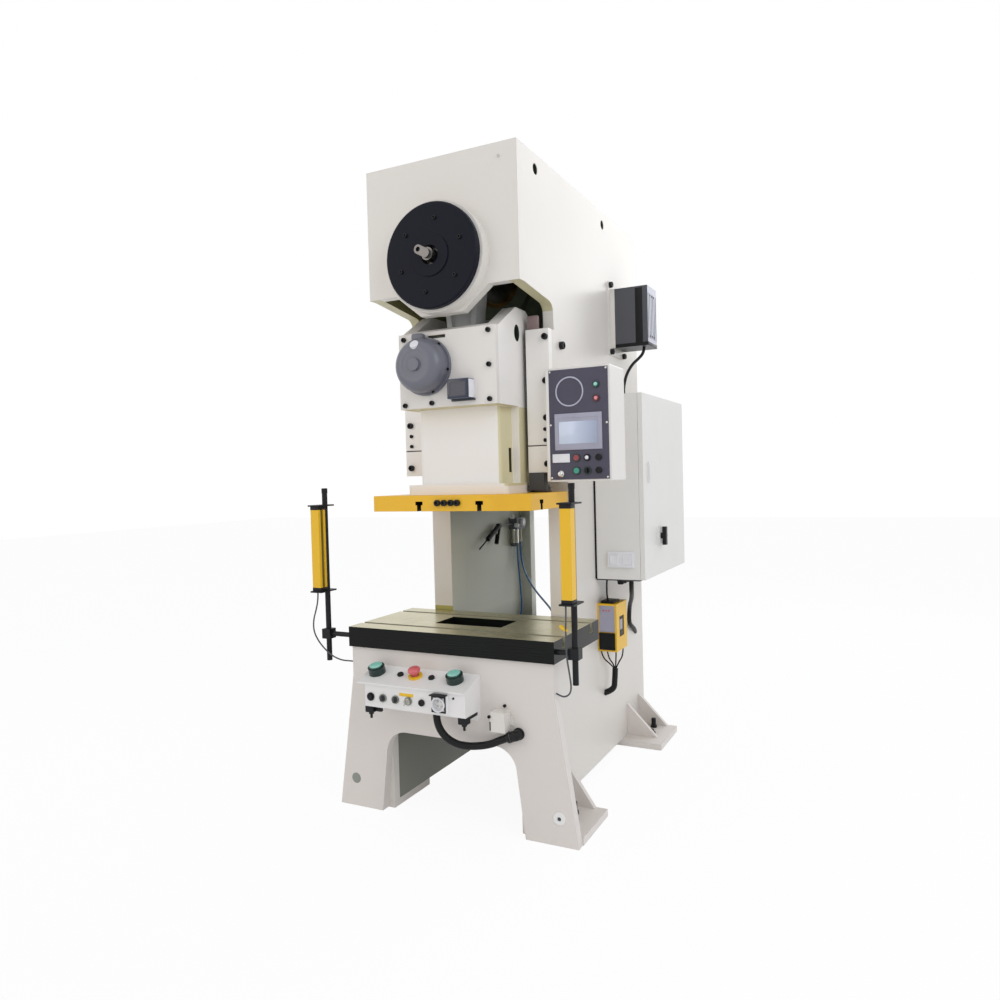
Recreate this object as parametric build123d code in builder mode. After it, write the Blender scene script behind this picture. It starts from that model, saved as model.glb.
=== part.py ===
from build123d import *
import os
from math import atan2, cos, degrees, pi, radians, sin, tan

os.makedirs("parts", exist_ok=True)

# Sizes in millimetres. X runs across the press, Y from front to rear and Z up.
# The origin is on the floor, in the middle of the four floor anchors.

# Floor anchors and feet
anchor_pitch_x = 860
anchor_pitch_y = 1075
anchor_hole_radius = 14
foot_thickness = 28
foot_outer_x = 526
front_foot_length = 265
rear_foot_length = 307
front_anchor_inset = 125
rear_anchor_inset = 152
gusset_thickness = 22
front_gusset_height = 215
rear_gusset_height = 155
gusset_toe = 46
rear_gusset_inset = 92

# Frame plates
half_width = 330
side_thickness = 45
bed_plate_thickness = 40
bed_top_thickness = 50
bed_top_z = 657
throat_setback = 465
throat_radius = 60
column_flange_width = 47
column_flange_depth = 130
rear_flange_width = 60
rear_flange_setback = 1290
rear_margin = 188
rear_flange_depth = 40
tie_plate_thickness = 30
tie_plate_height = 180
tie_plate_inset = 50
tie_plate_top_drop = 145

# Bed front plate and its arch
bed_half_width = 442
bed_shoulder_z = 540
leg_outer_x = 523
arch_foot_x = 316
arch_head_x = 276
arch_height = 330
arch_radius = 90

# Crown
crown_setback = 38
crown_plate_thickness = 40
crown_top_z = 2546
crown_height = 505
crown_radius = 140
lobe_drop = 89
lobe_top_half = 204
lobe_bottom_half = 93
top_plate_thickness = 30
top_plate_length = 922
guard_thickness = 6
guard_drop = 846
louvre_length = 300
louvre_height = 14
louvre_pitch = 42
louvre_count = 7
louvre_drop = 250
lifting_hole_radius = 21
lifting_hole_drop = 58
lifting_hole_front = 164
lifting_hole_pitch = 763
breather_inset = 23
breather_setback = 314
breather_radius = 7
breather_height = 18
breather_head_radius = 11
breather_head_height = 9

# Notch between the crown and the slideways
notch_depth = 22
notch_drop = 537
notch_radius = 45

# Slideways
gib_setback = 290
gib_strip_thickness = 35
gib_overlap = 53
left_gib_overhang = 16
gib_bottom_drop = 1206
gib_top_drop = 641
gib_joint_rise = 106
gib_joint_gap = 3
gib_joint_depth = 4
groove_depth = 40
groove_width = 60
groove_lip = 3
way_gap = 0.3
stop_inset = 4
stop_width = 64
stop_height = 50
stop_foot_overhang = 8
stop_foot_height = 20

# Bolster
bolster_width = 900
bolster_depth = 470
bolster_thickness = 80
bolster_overhang = 11
drop_hole_width = 300
drop_hole_depth = 150
drop_hole_setback = 243
bed_hole_margin = 12
bolster_slot_rows = (96, 382)
bolster_neck_width = 22
bolster_neck_depth = 22
bolster_tee_width = 38
bolster_tee_height = 17

# Crank train
crank_drop = 388
slide_setback = 227
throw = 60
pin_radius = 60
pin_length = 80
web_thickness = 40
web_radius = 85
journal_radius = 80
shaft_radius = 70
shaft_end_setback = 1076
nose_radius = 24
nose_length = 50
bush_thickness = 15
running_gap = 0.05
boss_radius = 208
boss_length = 48
cap_radius = 197
cap_thickness = 26
cap_hole_radius = 36
cap_hub_radius = 78
cap_hub_height = 5
cap_clearance = 2
lug_length = 30
lug_width = 34
lug_thickness = 14
lug_hole_radius = 9
wall_setback = 560
wall_thickness = 60
wall_drop = 626
wall_boss_radius = 150
wall_boss_length = 40
clutch_setback = 700
clutch_width = 180
clutch_radius = 215
clutch_fin_count = 3
clutch_fin_gap = 14
clutch_fin_depth = 30

# Connecting rod and adjusting screw
rod_length = 458
big_end_radius = 95
small_end_radius = 45
wrist_pin_radius = 25
rod_side_gap = 0.5
rod_recess_depth = 14
rod_recess_margin = 22
rod_recess_top = 150
rod_recess_bottom = 330
saddle_half_x = 58
saddle_cheek = 24
saddle_gap_below = 16
saddle_block = 66
saddle_cheek_top = 40
screw_radius = 40
screw_length = 170
screw_gap = 0.3

# Slide
slide_side_gap = 17
slide_front_setback = 82
slide_rear_setback = 392
slide_shoulder_drop = 944
slide_front_drop = 650
ear_top_drop = 556
ear_slope_run = 155
ear_flat_run = 95
ear_rear_drop = 40
cavity_side_wall = 55
cavity_front_wall = 28
cavity_rear_wall = 42
cavity_gap = 5
ear_hole_width = 48
ear_hole_height = 66
ear_hole_drop = 656
ear_hole_shift = 20
way_bottom_drop = 1146
way_top_drop = 656
shoulder_step = 33
rear_block_shift = 20
lower_front_setback = 140
lower_corner_radius = 20
flange_step = 40
flange_front_setback = 105
flange_rear_setback = 398
flange_thickness = 40
knockout_slot_width = 22
knockout_slot_height = 95
knockout_slot_drop = 1201
cover_thickness = 20
cover_slot_length = 80
cover_slot_height = 12
cover_slot_x = -42
cover_slot_drop = 21

# Slide plate
slide_plate_half_width = 349
slide_plate_front_setback = 48
slide_plate_depth = 358
slide_plate_drop = 1346
slide_plate_thickness = 62
plate_slot_x = 134
plate_neck_width = 18
plate_neck_depth = 24
plate_tee_width = 32
plate_tee_height = 14
cross_slot_setback = 143
shank_radius = 25

# Slide adjusting motor and counter on the slide cover
adjust_motor_x = -90
adjust_motor_drop = 784
adjust_rim_radius = 112
adjust_rim_height = 14
adjust_body_radius = 104
adjust_body_height = 46
adjust_crown_radius = 52
adjust_crown_height = 88
adjust_knob_radius = 24
adjust_knob_height = 98
counter_width = 90
counter_height = 74
counter_depth = 46
counter_x = 72
counter_drop = 883
counter_window_margin = 12
counter_window_depth = 4

# Flywheel, belts and drive motor
flywheel_setback = 900
flywheel_width = 160
flywheel_gap = 15
flywheel_rim = 55
flywheel_recess_inner = 120
flywheel_recess_depth = 50
belt_count = 4
belt_pitch = 24
groove_ring_width = 16
groove_ring_depth = 12
belt_width = 14
belt_seat_gap = 0.3
belt_height = 12.7
belt_span = 648
pulley_radius = 80
pulley_width = 110
motor_shaft_radius = 24
motor_shaft_length = 40
motor_radius = 130
motor_length = 340
motor_gap = 8
motor_rib_count = 5
motor_rib_height = 6
motor_rib_width = 12
motor_foot_width = 250
motor_foot_length = 220
motor_foot_inset = 50
motor_terminal_width = 110
motor_terminal_length = 120
motor_terminal_height = 60
motor_drop = 150
shelf_thickness = 25
shelf_front_setback = 1040
shelf_length = 400
shelf_notch_width = 70
shelf_notch_length = 160
shelf_notch_inset = 100

# Operator panel on the right side
hmi_reach = 40
hmi_width = 260
hmi_depth = 170
hmi_drop = 38
hmi_height = 437
hmi_panel_margin = 8
hmi_panel_thickness = 3
hmi_corner_radius = 6
screen_x = 127
screen_z = 192
screen_width = 196
screen_height = 141
bezel_height = 2
bezel_width = 24
bezel_recess = 1.2
meter_x = 53
meter_z = 90
meter_width = 70
meter_height = 32
meter_thickness = 2
meter_knob_drop = 58
button_column_x = 122
selector_column_x = 165
plug_column_x = 211
button_upper_z = 90
button_lower_z = 41
lamp_column_x = 202
lamp_upper_z = 370
lamp_lower_z = 315
lamp_radius = 9
lamp_height = 6
button_radius = 11
button_height = 10
button_stem = 6
button_travel = 3
button_clearance = 0.4
bezel_ring_width = 4
bezel_ring_height = 5

# Electrical cabinet
cabinet_setback = 769
cabinet_length = 722
cabinet_depth = 208
cabinet_bottom_z = 859
cabinet_height = 819
cabinet_wall = 4
cabinet_lip = 18
door_thickness = 20
door_skin = 4
door_gap = 1
hinge_radius = 6
hinge_pin_radius = 3
hinge_knuckle = 22
hinge_offset = 8
hinge_inset = 90
hinge_tab = 8
gland_count = 4
gland_radius = 13
gland_length = 22
gland_pitch = 42
gland_front_inset = 40
back_panel_thickness = 3
back_panel_margin = 40
rail_row_heights = (130, 340, 560)
rail_block_height = 110
rail_block_depth = 80
rail_block_length = 150
rail_block_pitch = 190
rail_block_inset = 48
handle_setback = 1022
handle_z = 1036
handle_plate_width = 62
handle_plate_height = 96
handle_plate_thickness = 6
handle_shaft_radius = 14
handle_shaft_length = 26
handle_bar_length = 84
handle_bar_width = 18
handle_bar_height = 24
latch_setback = 846
latch_z = 1330
latch_width = 20
latch_height = 90
latch_thickness = 8

# Inverter box on the right side of the crown
drive_box_setback = 1060
drive_box_length = 150
drive_box_width = 160
drive_box_share = 0.288
drive_box_height = 280
drive_box_fin_count = 6
drive_box_fin_depth = 10
drive_box_fin_width = 8
bracket_gap = 22
bracket_overhang = 34
bracket_sheet = 5

# Two-hand console on the bed
console_left_x = -300
console_right_x = 142
console_bottom_z = 458
console_depth = 115
console_front_top_z = 547
console_back_top_z = 585
lid_overhang_left = 33
lid_overhang_front = 7
lid_thickness = 6
ledge_depth = 22
ledge_height = 34
palm_left_x = -283
palm_right_x = 68
palm_slope_share = 0.55
palm_shroud_radius = 33
palm_shroud_wall = 5
palm_shroud_height = 28
palm_cap_height = 14
palm_cap_rounding = 5
palm_stem_radius = 12
palm_travel = 6
stem_depth = 20
stop_button_x = -107
stop_button_radius = 22
stop_button_height = 16
stop_button_rounding = 8
stop_collar_radius = 26
stop_collar_height = 6
stop_stem_height = 22
plug_places_x = (-175, -35)
plug_radius = 11
plug_height = 6
row_z = 497
push_button_x = -272
mode_selector_x = -216
stroke_selector_x = -159
key_switch_x = -101
fuse_x = -42
knob_radius = 11
knob_height = 8
knob_bar_width = 6
knob_bar_share = 0.87
knob_bar_height = 9
key_bow_radius = 9
key_bow_thickness = 3
key_bow_reach = 26
socket_x = 39
socket_z = 503
socket_width = 64
socket_height = 68
socket_thickness = 14
socket_well_radius = 24
socket_well_depth = 8

# Small terminal box and conduit elbow on the bed
terminal_left_x = 206
terminal_width = 60
terminal_depth = 48
terminal_bottom_z = 398
terminal_height = 74
terminal_lug = 14
terminal_lug_inset = 19
terminal_lug_thickness = 6
elbow_x = 299
elbow_z = 388
elbow_radius = 19
elbow_reach = 22
elbow_stub = 22

# Light curtain
left_post_x = -573
right_post_x = 520
post_setback = 15
post_radius = 11
post_bottom_z = 585
post_top_z = 1298
arm_radius = 10
arm_z = 697
clamp_size = 40
curtain_offset = 46
curtain_width = 40
curtain_depth = 42
curtain_bottom_z = 881
curtain_length = 345
curtain_end = 14
curtain_window_width = 16
curtain_window_depth = 2
curtain_plate = 6
curtain_plate_width = 56
curtain_plate_reach = 24

# Light curtain controller
controller_setback = 780
controller_length = 150
controller_width = 90
controller_bottom_z = 530
controller_height = 215
controller_face_margin = 10
controller_face_depth = 3
controller_window_height = 92
controller_window_length = 66

# Air station and blow gun inside the left column
air_setback = 1150
air_block_length = 100
air_block_depth = 48
air_block_height = 60
air_block_z = 1050
air_bowl_radius = 21
air_bowl_height = 90
air_outlet_radius = 9
air_outlet_length = 70
air_down_offset = 48
air_across_offset = 88
air_hook_radius = 5
air_hook_reach = 150
gun_body_radius = 12
gun_socket_length = 24
gun_barrel_length = 140
gun_droop = 25
gun_grip_length = 95
gun_grip_radius = 11
gun_grip_tilt = 20
gun_nozzle_radius = 4
gun_nozzle_length = 95

# Cords: where each starts, the steps of its way out and its way in, and where it ends
bend_share = 0.45
conduit_diameter = 28
conduit_x = -5
conduit_inset = 75
conduit_way_out = ((0, 0, -32), (13, 3, -72), (44, 9, -105), (92, 18, -124))
conduit_way_in = ((-134, -18, -46), (-78, -9, -34), (-36, -2, -13))
drive_cable_diameter = 14
drive_cable_inset_x = 33
drive_cable_inset_y = 45
drive_cable_steps = ((0, 0), (-9, -22), (-33, -64), (-51, -100), (-58, -133), (-57, -156))
drive_cable_fall_shares = (0.136, 0.28, 0.396, 0.552, 0.728, 0.87)
drive_cable_end_step = (-57, -156)
curtain_cable_diameter = 6
curtain_cable_shift = -13
curtain_cable_ends_z = {"left": 588, "right": 546}
curtain_ways_out = {
    "left": ((0, 0, -29), (-13, 2, -74), (-33, 6, -118), (-37, 10, -167), (-20, 17, -207), (7, 21, -238)),
    "right": ((0, 0, -30), (-5, 7, -80), (-8, 13, -137), (-7, 16, -192), (-1, 20, -239), (2, 26, -283)),
}
curtain_ways_in = {
    "left": ((-103, -22, 19), (-66, -10, 2), (-28, 0, 0)),
    "right": ((57, -16, 20), (38, -6, 4), (18, 0, 0)),
}
air_tube_diameter = 10
air_down_end = 13
air_down_end_z = 560
air_down_way_out = ((0, 0, -44), (8, -9, -118), (20, -20, -192), (29, -30, -266))
air_down_way_in = ((62, -2, 72), (44, 0, 24), (20, 0, 0))
air_across_end = 95
air_across_end_z = 705
air_across_shares = (
    (0, 0, 0.155),
    (0.022, 0.018, 0.37),
    (0.09, 0.075, 0.56),
    (0.2, 0.168, 0.71),
    (0.322, 0.28, 0.808),
    (0.45, 0.405, 0.872),
    (0.575, 0.53, 0.915),
    (0.69, 0.65, 0.945),
    (0.79, 0.765, 0.968),
    (0.85, 0.855, 0.983),
    (0.895, 0.94, 0.994),
    (0.925, 0.985, 1),
    (0.96, 1, 1),
)

# Overrun of every cut past the face it opens
overrun = 5

# Turns in degrees
quarter_turn = 90
half_turn = 180

# Places worked out from the sizes above
front_y = -(anchor_pitch_y / 2 + front_anchor_inset + bed_plate_thickness)
bed_back_y = front_y + bed_plate_thickness
throat_y = front_y + throat_setback
frame_depth = rear_flange_setback + rear_margin
rear_y = front_y + frame_depth
crown_y = front_y + crown_setback
crown_back_y = crown_y + crown_plate_thickness
gib_front_y = front_y + gib_setback
way_y = gib_front_y + gib_strip_thickness
slide_y = front_y + slide_setback
inner_x = half_width - side_thickness
column_inner_x = inner_x - column_flange_width
rear_flange_inner_x = inner_x - rear_flange_width
gib_inner_x = inner_x - gib_overlap
gib_bottom_z = crown_top_z - gib_bottom_drop
gib_top_z = crown_top_z - gib_top_drop
crown_bottom_z = crown_top_z - crown_height
notch_top_z = crown_top_z - notch_drop
guard_bottom_z = crown_top_z - guard_drop
crank_z = crown_top_z - crank_drop
wall_bottom_z = crown_top_z - wall_drop
slide_half_width = gib_inner_x - slide_side_gap
slide_shoulder_z = crown_top_z - slide_shoulder_drop
slide_front_top_z = crown_top_z - slide_front_drop
ear_top_z = crown_top_z - ear_top_drop
ear_hole_z = crown_top_z - ear_hole_drop
way_bottom_z = crown_top_z - way_bottom_drop
way_top_z = crown_top_z - way_top_drop
lower_half_width = slide_half_width - shoulder_step
flange_half_width = lower_half_width + flange_step
cavity_half_x = slide_half_width - cavity_side_wall
knockout_slot_bottom_z = crown_top_z - knockout_slot_drop
slide_plate_bottom_z = crown_top_z - slide_plate_drop
adjust_motor_z = crown_top_z - adjust_motor_drop
counter_z = crown_top_z - counter_drop
flywheel_radius = inner_x - flywheel_gap
flywheel_recess_outer = flywheel_radius - flywheel_rim
motor_z = crank_z - belt_span
hmi_bottom_z = gib_bottom_z - hmi_drop
bolster_top_z = bed_top_z + bolster_thickness
bush_radius = journal_radius + bush_thickness
cap_back_y = crown_y - boss_length
wall_y = front_y + wall_setback
top_end_y = crown_back_y + top_plate_length
flywheel_y = front_y + flywheel_setback
belt_y = flywheel_y + flywheel_width / 2
pulley_y = belt_y - pulley_width / 2
motor_y = pulley_y + pulley_width + motor_gap
shelf_top_z = motor_z - motor_drop
rear_foot_y = anchor_pitch_y / 2 - rear_anchor_inset


def block(x, y, z, mode=Mode.ADD):
    # A box from its low and high limits along each axis
    x, y, z = sorted(x), sorted(y), sorted(z)
    with Locations((x[0], y[0], z[0])):
        Box(x[1] - x[0], y[1] - y[0], z[1] - z[0], align=(Align.MIN,) * 3, mode=mode)


def bar(place, turn, radius, length, mode=Mode.ADD):
    # A round bar that starts at a place and runs along its own turned axis
    with Locations(Location(place, turn)):
        Cylinder(radius, length, align=(Align.CENTER, Align.CENTER, Align.MIN), mode=mode)


along_x = (0, quarter_turn, 0)
along_y = (-quarter_turn, 0, 0)
forward = (quarter_turn, 0, 0)
upward = (0, 0, 0)
downward = (half_turn, 0, 0)


def nearest(sketch, place):
    return sketch.vertices().sort_by_distance(place)[0]


def save(piece, name):
    piece.part.label = name
    export_step(piece.part, f"parts/{name}.step")


# Side plates, each with its column flange and its rear stiffener
def side_plate(hand):
    with BuildPart() as plate:
        with BuildSketch(Plane.YZ.offset(hand * inner_x)) as outline:
            with BuildLine():
                Polyline(
                    (bed_back_y, foot_thickness),
                    (bed_back_y, bed_top_z),
                    (throat_y, bed_top_z),
                    (throat_y, gib_bottom_z),
                    (way_y, gib_bottom_z),
                    (way_y, gib_top_z),
                    (way_y + notch_depth, gib_top_z),
                    (way_y + notch_depth, notch_top_z),
                    (crown_back_y, crown_bottom_z),
                    (crown_back_y, crown_top_z),
                    (rear_y, crown_top_z),
                    (rear_y, foot_thickness),
                    close=True,
                )
            make_face()
            fillet(nearest(outline, (throat_y, gib_bottom_z)), throat_radius)
            fillet(nearest(outline, (way_y + notch_depth, notch_top_z)), notch_radius)
            fillet(nearest(outline, (rear_y, crown_top_z)), crown_radius)
            hole_y = crown_y + lifting_hole_front
            hole_z = crown_top_z - lifting_hole_drop
            with Locations((hole_y, hole_z), (hole_y + lifting_hole_pitch, hole_z)):
                Circle(lifting_hole_radius, mode=Mode.SUBTRACT)
        extrude(amount=hand * side_thickness)
        flange_x = (hand * column_inner_x, hand * inner_x)
        flange_z = (bed_top_z - bed_top_thickness, gib_top_z)
        block(flange_x, (throat_y, throat_y + column_flange_depth), flange_z)
        rear_flange_y = front_y + rear_flange_setback
        block(
            (hand * rear_flange_inner_x, hand * inner_x),
            (rear_flange_y, rear_flange_y + rear_flange_depth),
            (bed_top_z - tie_plate_height, shelf_top_z - shelf_thickness),
        )
    return plate


save(side_plate(-1), "side_plate_left")
save(side_plate(1), "side_plate_right")

# Crown front plate with its lobe, round boss and crank bore
with BuildPart() as crown_front_plate:
    with BuildSketch(Plane.XZ.offset(-crown_back_y)):
        with BuildLine():
            Polyline(
                (-half_width, crown_top_z),
                (half_width, crown_top_z),
                (half_width, crown_bottom_z),
                (lobe_top_half, crown_bottom_z),
                (lobe_bottom_half, crown_bottom_z - lobe_drop),
                (-lobe_bottom_half, crown_bottom_z - lobe_drop),
                (-lobe_top_half, crown_bottom_z),
                (-half_width, crown_bottom_z),
                close=True,
            )
        make_face()
    extrude(amount=crown_plate_thickness)
    bar((0, crown_back_y, crank_z), forward, boss_radius, crown_back_y - cap_back_y)
    bar((0, crown_back_y, crank_z), forward, bush_radius, crown_back_y - cap_back_y, Mode.SUBTRACT)
save(crown_front_plate, "crown_front_plate")

# Crown top plate with its breather
with BuildPart() as crown_top_plate:
    block(
        (-inner_x, inner_x),
        (crown_back_y, top_end_y),
        (crown_top_z - top_plate_thickness, crown_top_z),
    )
    breather_x = inner_x - breather_inset
    breather_y = crown_back_y + breather_setback
    bar((breather_x, breather_y, crown_top_z), upward, breather_radius, breather_height)
    head_z = crown_top_z + breather_height
    bar((breather_x, breather_y, head_z), upward, breather_head_radius, breather_head_height)
save(crown_top_plate, "crown_top_plate")

# Wall that carries the rear crank bearing
with BuildPart() as bearing_wall:
    block(
        (-inner_x, inner_x),
        (wall_y, wall_y + wall_thickness),
        (wall_bottom_z, crown_top_z - top_plate_thickness),
    )
    wall_boss_y = wall_y - wall_boss_length
    wall_bore_length = wall_thickness + 2 * wall_boss_length
    bar((0, wall_boss_y, crank_z), along_y, wall_boss_radius, wall_bore_length)
    bar((0, wall_boss_y, crank_z), along_y, bush_radius, wall_bore_length, Mode.SUBTRACT)
save(bearing_wall, "bearing_wall")

# Bent sheet over the flywheel, with louvres in its back
with BuildPart() as rear_guard:
    with BuildSketch(Plane.YZ.offset(-inner_x)) as guard_outline:
        with BuildLine():
            Polyline(
                (top_end_y, crown_top_z),
                (rear_y, crown_top_z),
                (rear_y, guard_bottom_z),
                (rear_y - guard_thickness, guard_bottom_z),
                (rear_y - guard_thickness, crown_top_z - guard_thickness),
                (top_end_y, crown_top_z - guard_thickness),
                close=True,
            )
        make_face()
        fillet(nearest(guard_outline, (rear_y, crown_top_z)), crown_radius)
        inner_corner = (rear_y - guard_thickness, crown_top_z - guard_thickness)
        fillet(nearest(guard_outline, inner_corner), crown_radius - guard_thickness)
    extrude(amount=2 * inner_x)
    for row in range(louvre_count):
        louvre_z = crown_top_z - louvre_drop - row * louvre_pitch
        block(
            (-louvre_length / 2, louvre_length / 2),
            (rear_y - guard_thickness - overrun, rear_y + overrun),
            (louvre_z - louvre_height, louvre_z),
            Mode.SUBTRACT,
        )
save(rear_guard, "rear_guard")

# Cross plates: the rear tie plate and the motor shelf, notched for the air tubes
with BuildPart() as tie_plates:
    tie_top_z = bed_top_z - tie_plate_top_drop
    tie_back_y = rear_y - tie_plate_inset
    block(
        (-inner_x, inner_x),
        (tie_back_y - tie_plate_thickness, tie_back_y),
        (tie_top_z - tie_plate_height, tie_top_z),
    )
    shelf_y = front_y + shelf_front_setback
    block(
        (-inner_x, inner_x),
        (shelf_y, shelf_y + shelf_length),
        (shelf_top_z - shelf_thickness, shelf_top_z),
    )
    notch_y = shelf_y + shelf_notch_inset
    block(
        (-inner_x - overrun, -inner_x + shelf_notch_width),
        (notch_y, notch_y + shelf_notch_length),
        (shelf_top_z - shelf_thickness - overrun, shelf_top_z + overrun),
        Mode.SUBTRACT,
    )
save(tie_plates, "tie_plates")

# Bed front plate with its flared legs and arch
with BuildPart() as bed_front_plate:
    with BuildSketch(Plane.XZ.offset(-bed_back_y)) as bed_outline:
        with BuildLine():
            Polyline(
                (-bed_half_width, bed_top_z),
                (bed_half_width, bed_top_z),
                (bed_half_width, bed_shoulder_z),
                (leg_outer_x, 0),
                (arch_foot_x, 0),
                (arch_head_x, arch_height),
                (-arch_head_x, arch_height),
                (-arch_foot_x, 0),
                (-leg_outer_x, 0),
                (-bed_half_width, bed_shoulder_z),
                close=True,
            )
        make_face()
        fillet(nearest(bed_outline, (arch_head_x, arch_height)), arch_radius)
        fillet(nearest(bed_outline, (-arch_head_x, arch_height)), arch_radius)
    extrude(amount=bed_plate_thickness)
save(bed_front_plate, "bed_front_plate")

# Bed top plate under the bolster, with the scrap hole
with BuildPart() as bed_top_plate:
    bed_top_limits = (bed_top_z - bed_top_thickness, bed_top_z)
    block((-inner_x, inner_x), (bed_back_y, throat_y), bed_top_limits)
    with Locations((0, front_y + drop_hole_setback, bed_top_z)):
        Box(
            drop_hole_width + 2 * bed_hole_margin,
            drop_hole_depth + 2 * bed_hole_margin,
            2 * (bed_top_thickness + overrun),
            mode=Mode.SUBTRACT,
        )
save(bed_top_plate, "bed_top_plate")

# Four feet: base plates under the side plates, with gussets and anchor holes
with BuildPart() as floor_feet:
    for hand in (-1, 1):
        foot_x = (hand * inner_x, hand * foot_outer_x)
        front_foot_end = bed_back_y + front_foot_length
        rear_foot_end = rear_foot_y + rear_foot_length
        block(foot_x, (bed_back_y, front_foot_end), (0, foot_thickness))
        block(foot_x, (rear_foot_y, rear_foot_end), (0, foot_thickness))
        toe_x = hand * (foot_outer_x - gusset_toe)
        gussets = (
            (front_foot_end, front_gusset_height),
            (rear_foot_y + rear_gusset_inset + gusset_thickness, rear_gusset_height),
            (rear_foot_end, rear_gusset_height),
        )
        for gusset_y, gusset_height in gussets:
            with BuildSketch(Plane.XZ.offset(-gusset_y)):
                with BuildLine():
                    Polyline(
                        (hand * half_width, foot_thickness),
                        (toe_x, foot_thickness),
                        (hand * half_width, foot_thickness + gusset_height),
                        close=True,
                    )
                make_face()
            extrude(amount=gusset_thickness)
        for anchor_y in (-anchor_pitch_y / 2, anchor_pitch_y / 2):
            hole_place = (hand * anchor_pitch_x / 2, anchor_y, -overrun)
            bar(hole_place, upward, anchor_hole_radius, foot_thickness + 2 * overrun, Mode.SUBTRACT)
save(floor_feet, "floor_feet")

# Bolster with its drop hole and two tee slots across
with BuildPart() as bolster_plate:
    bolster_y = front_y - bolster_overhang
    half_bolster = bolster_width / 2
    bolster_ends = (-half_bolster - overrun, half_bolster + overrun)
    block((-half_bolster, half_bolster), (bolster_y, bolster_y + bolster_depth), (bed_top_z, bolster_top_z))
    with Locations((0, front_y + drop_hole_setback, bolster_top_z)):
        Box(drop_hole_width, drop_hole_depth, 2 * (bolster_thickness + overrun), mode=Mode.SUBTRACT)
    for row in bolster_slot_rows:
        slot_y = bolster_y + row
        neck_z = bolster_top_z - bolster_neck_depth
        block(
            bolster_ends,
            (slot_y - bolster_neck_width / 2, slot_y + bolster_neck_width / 2),
            (neck_z, bolster_top_z + overrun),
            Mode.SUBTRACT,
        )
        block(
            bolster_ends,
            (slot_y - bolster_tee_width / 2, slot_y + bolster_tee_width / 2),
            (neck_z - bolster_tee_height, neck_z),
            Mode.SUBTRACT,
        )
save(bolster_plate, "bolster_plate")

# Gibs: channels that hold the ways of the slide, one on each column
groove_y = way_y + groove_lip
groove_x = gib_inner_x + groove_depth
with BuildPart() as gibs:
    for hand, strip_x in ((-1, half_width + left_gib_overhang), (1, half_width)):
        with BuildSketch(Plane.XY.offset(gib_bottom_z)):
            with BuildLine():
                Polyline(
                    (hand * gib_inner_x, gib_front_y),
                    (hand * strip_x, gib_front_y),
                    (hand * strip_x, way_y),
                    (hand * inner_x, way_y),
                    (hand * inner_x, throat_y),
                    (hand * gib_inner_x, throat_y),
                    (hand * gib_inner_x, groove_y + groove_width),
                    (hand * groove_x, groove_y + groove_width),
                    (hand * groove_x, groove_y),
                    (hand * gib_inner_x, groove_y),
                    close=True,
                )
            make_face()
        extrude(amount=gib_top_z - gib_bottom_z)
        joint_z = gib_bottom_z + gib_joint_rise
        block(
            (hand * (gib_inner_x - overrun), hand * (strip_x + overrun)),
            (gib_front_y - overrun, gib_front_y + gib_joint_depth),
            (joint_z, joint_z + gib_joint_gap),
            Mode.SUBTRACT,
        )
save(gibs, "gibs")

# Knock-out stop under the right gib, with its foot
with BuildPart() as knockout_stop:
    stop_x = (gib_inner_x + stop_inset, gib_inner_x + stop_inset + stop_width)
    stop_y = (gib_front_y - stop_inset, way_y - stop_inset)
    stop_bottom_z = gib_bottom_z - stop_height
    block(stop_x, stop_y, (stop_bottom_z, gib_bottom_z))
    block(
        (stop_x[0] - stop_foot_overhang, stop_x[1] + stop_foot_overhang),
        stop_y,
        (stop_bottom_z - stop_foot_height, stop_bottom_z),
    )
save(knockout_stop, "knockout_stop")

# Black bearing cap in front of the crank
with BuildPart() as bearing_cap:
    bar((0, cap_back_y, crank_z), forward, cap_radius, cap_thickness)
    chamfer(bearing_cap.edges().filter_by(GeomType.CIRCLE).sort_by(Axis.Y)[0], cap_hub_height)
    bar((0, cap_back_y, crank_z), forward, cap_hub_radius, cap_thickness + cap_hub_height)
    cap_total = cap_thickness + cap_hub_height
    bar((0, cap_back_y, crank_z), forward, cap_hole_radius, cap_total, Mode.SUBTRACT)
save(bearing_cap, "bearing_cap")

# Bushes of the two crank bearings
journal_end_y = cap_back_y + cap_clearance
with BuildPart() as crank_bushes:
    for bush_y, bush_end_y in (
        (journal_end_y, crown_back_y),
        (wall_boss_y, wall_boss_y + wall_bore_length),
    ):
        length = bush_end_y - bush_y
        bar((0, bush_y, crank_z), along_y, bush_radius, length)
        bar((0, bush_y, crank_z), along_y, journal_radius + running_gap, length, Mode.SUBTRACT)
save(crank_bushes, "crank_bushes")

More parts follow.
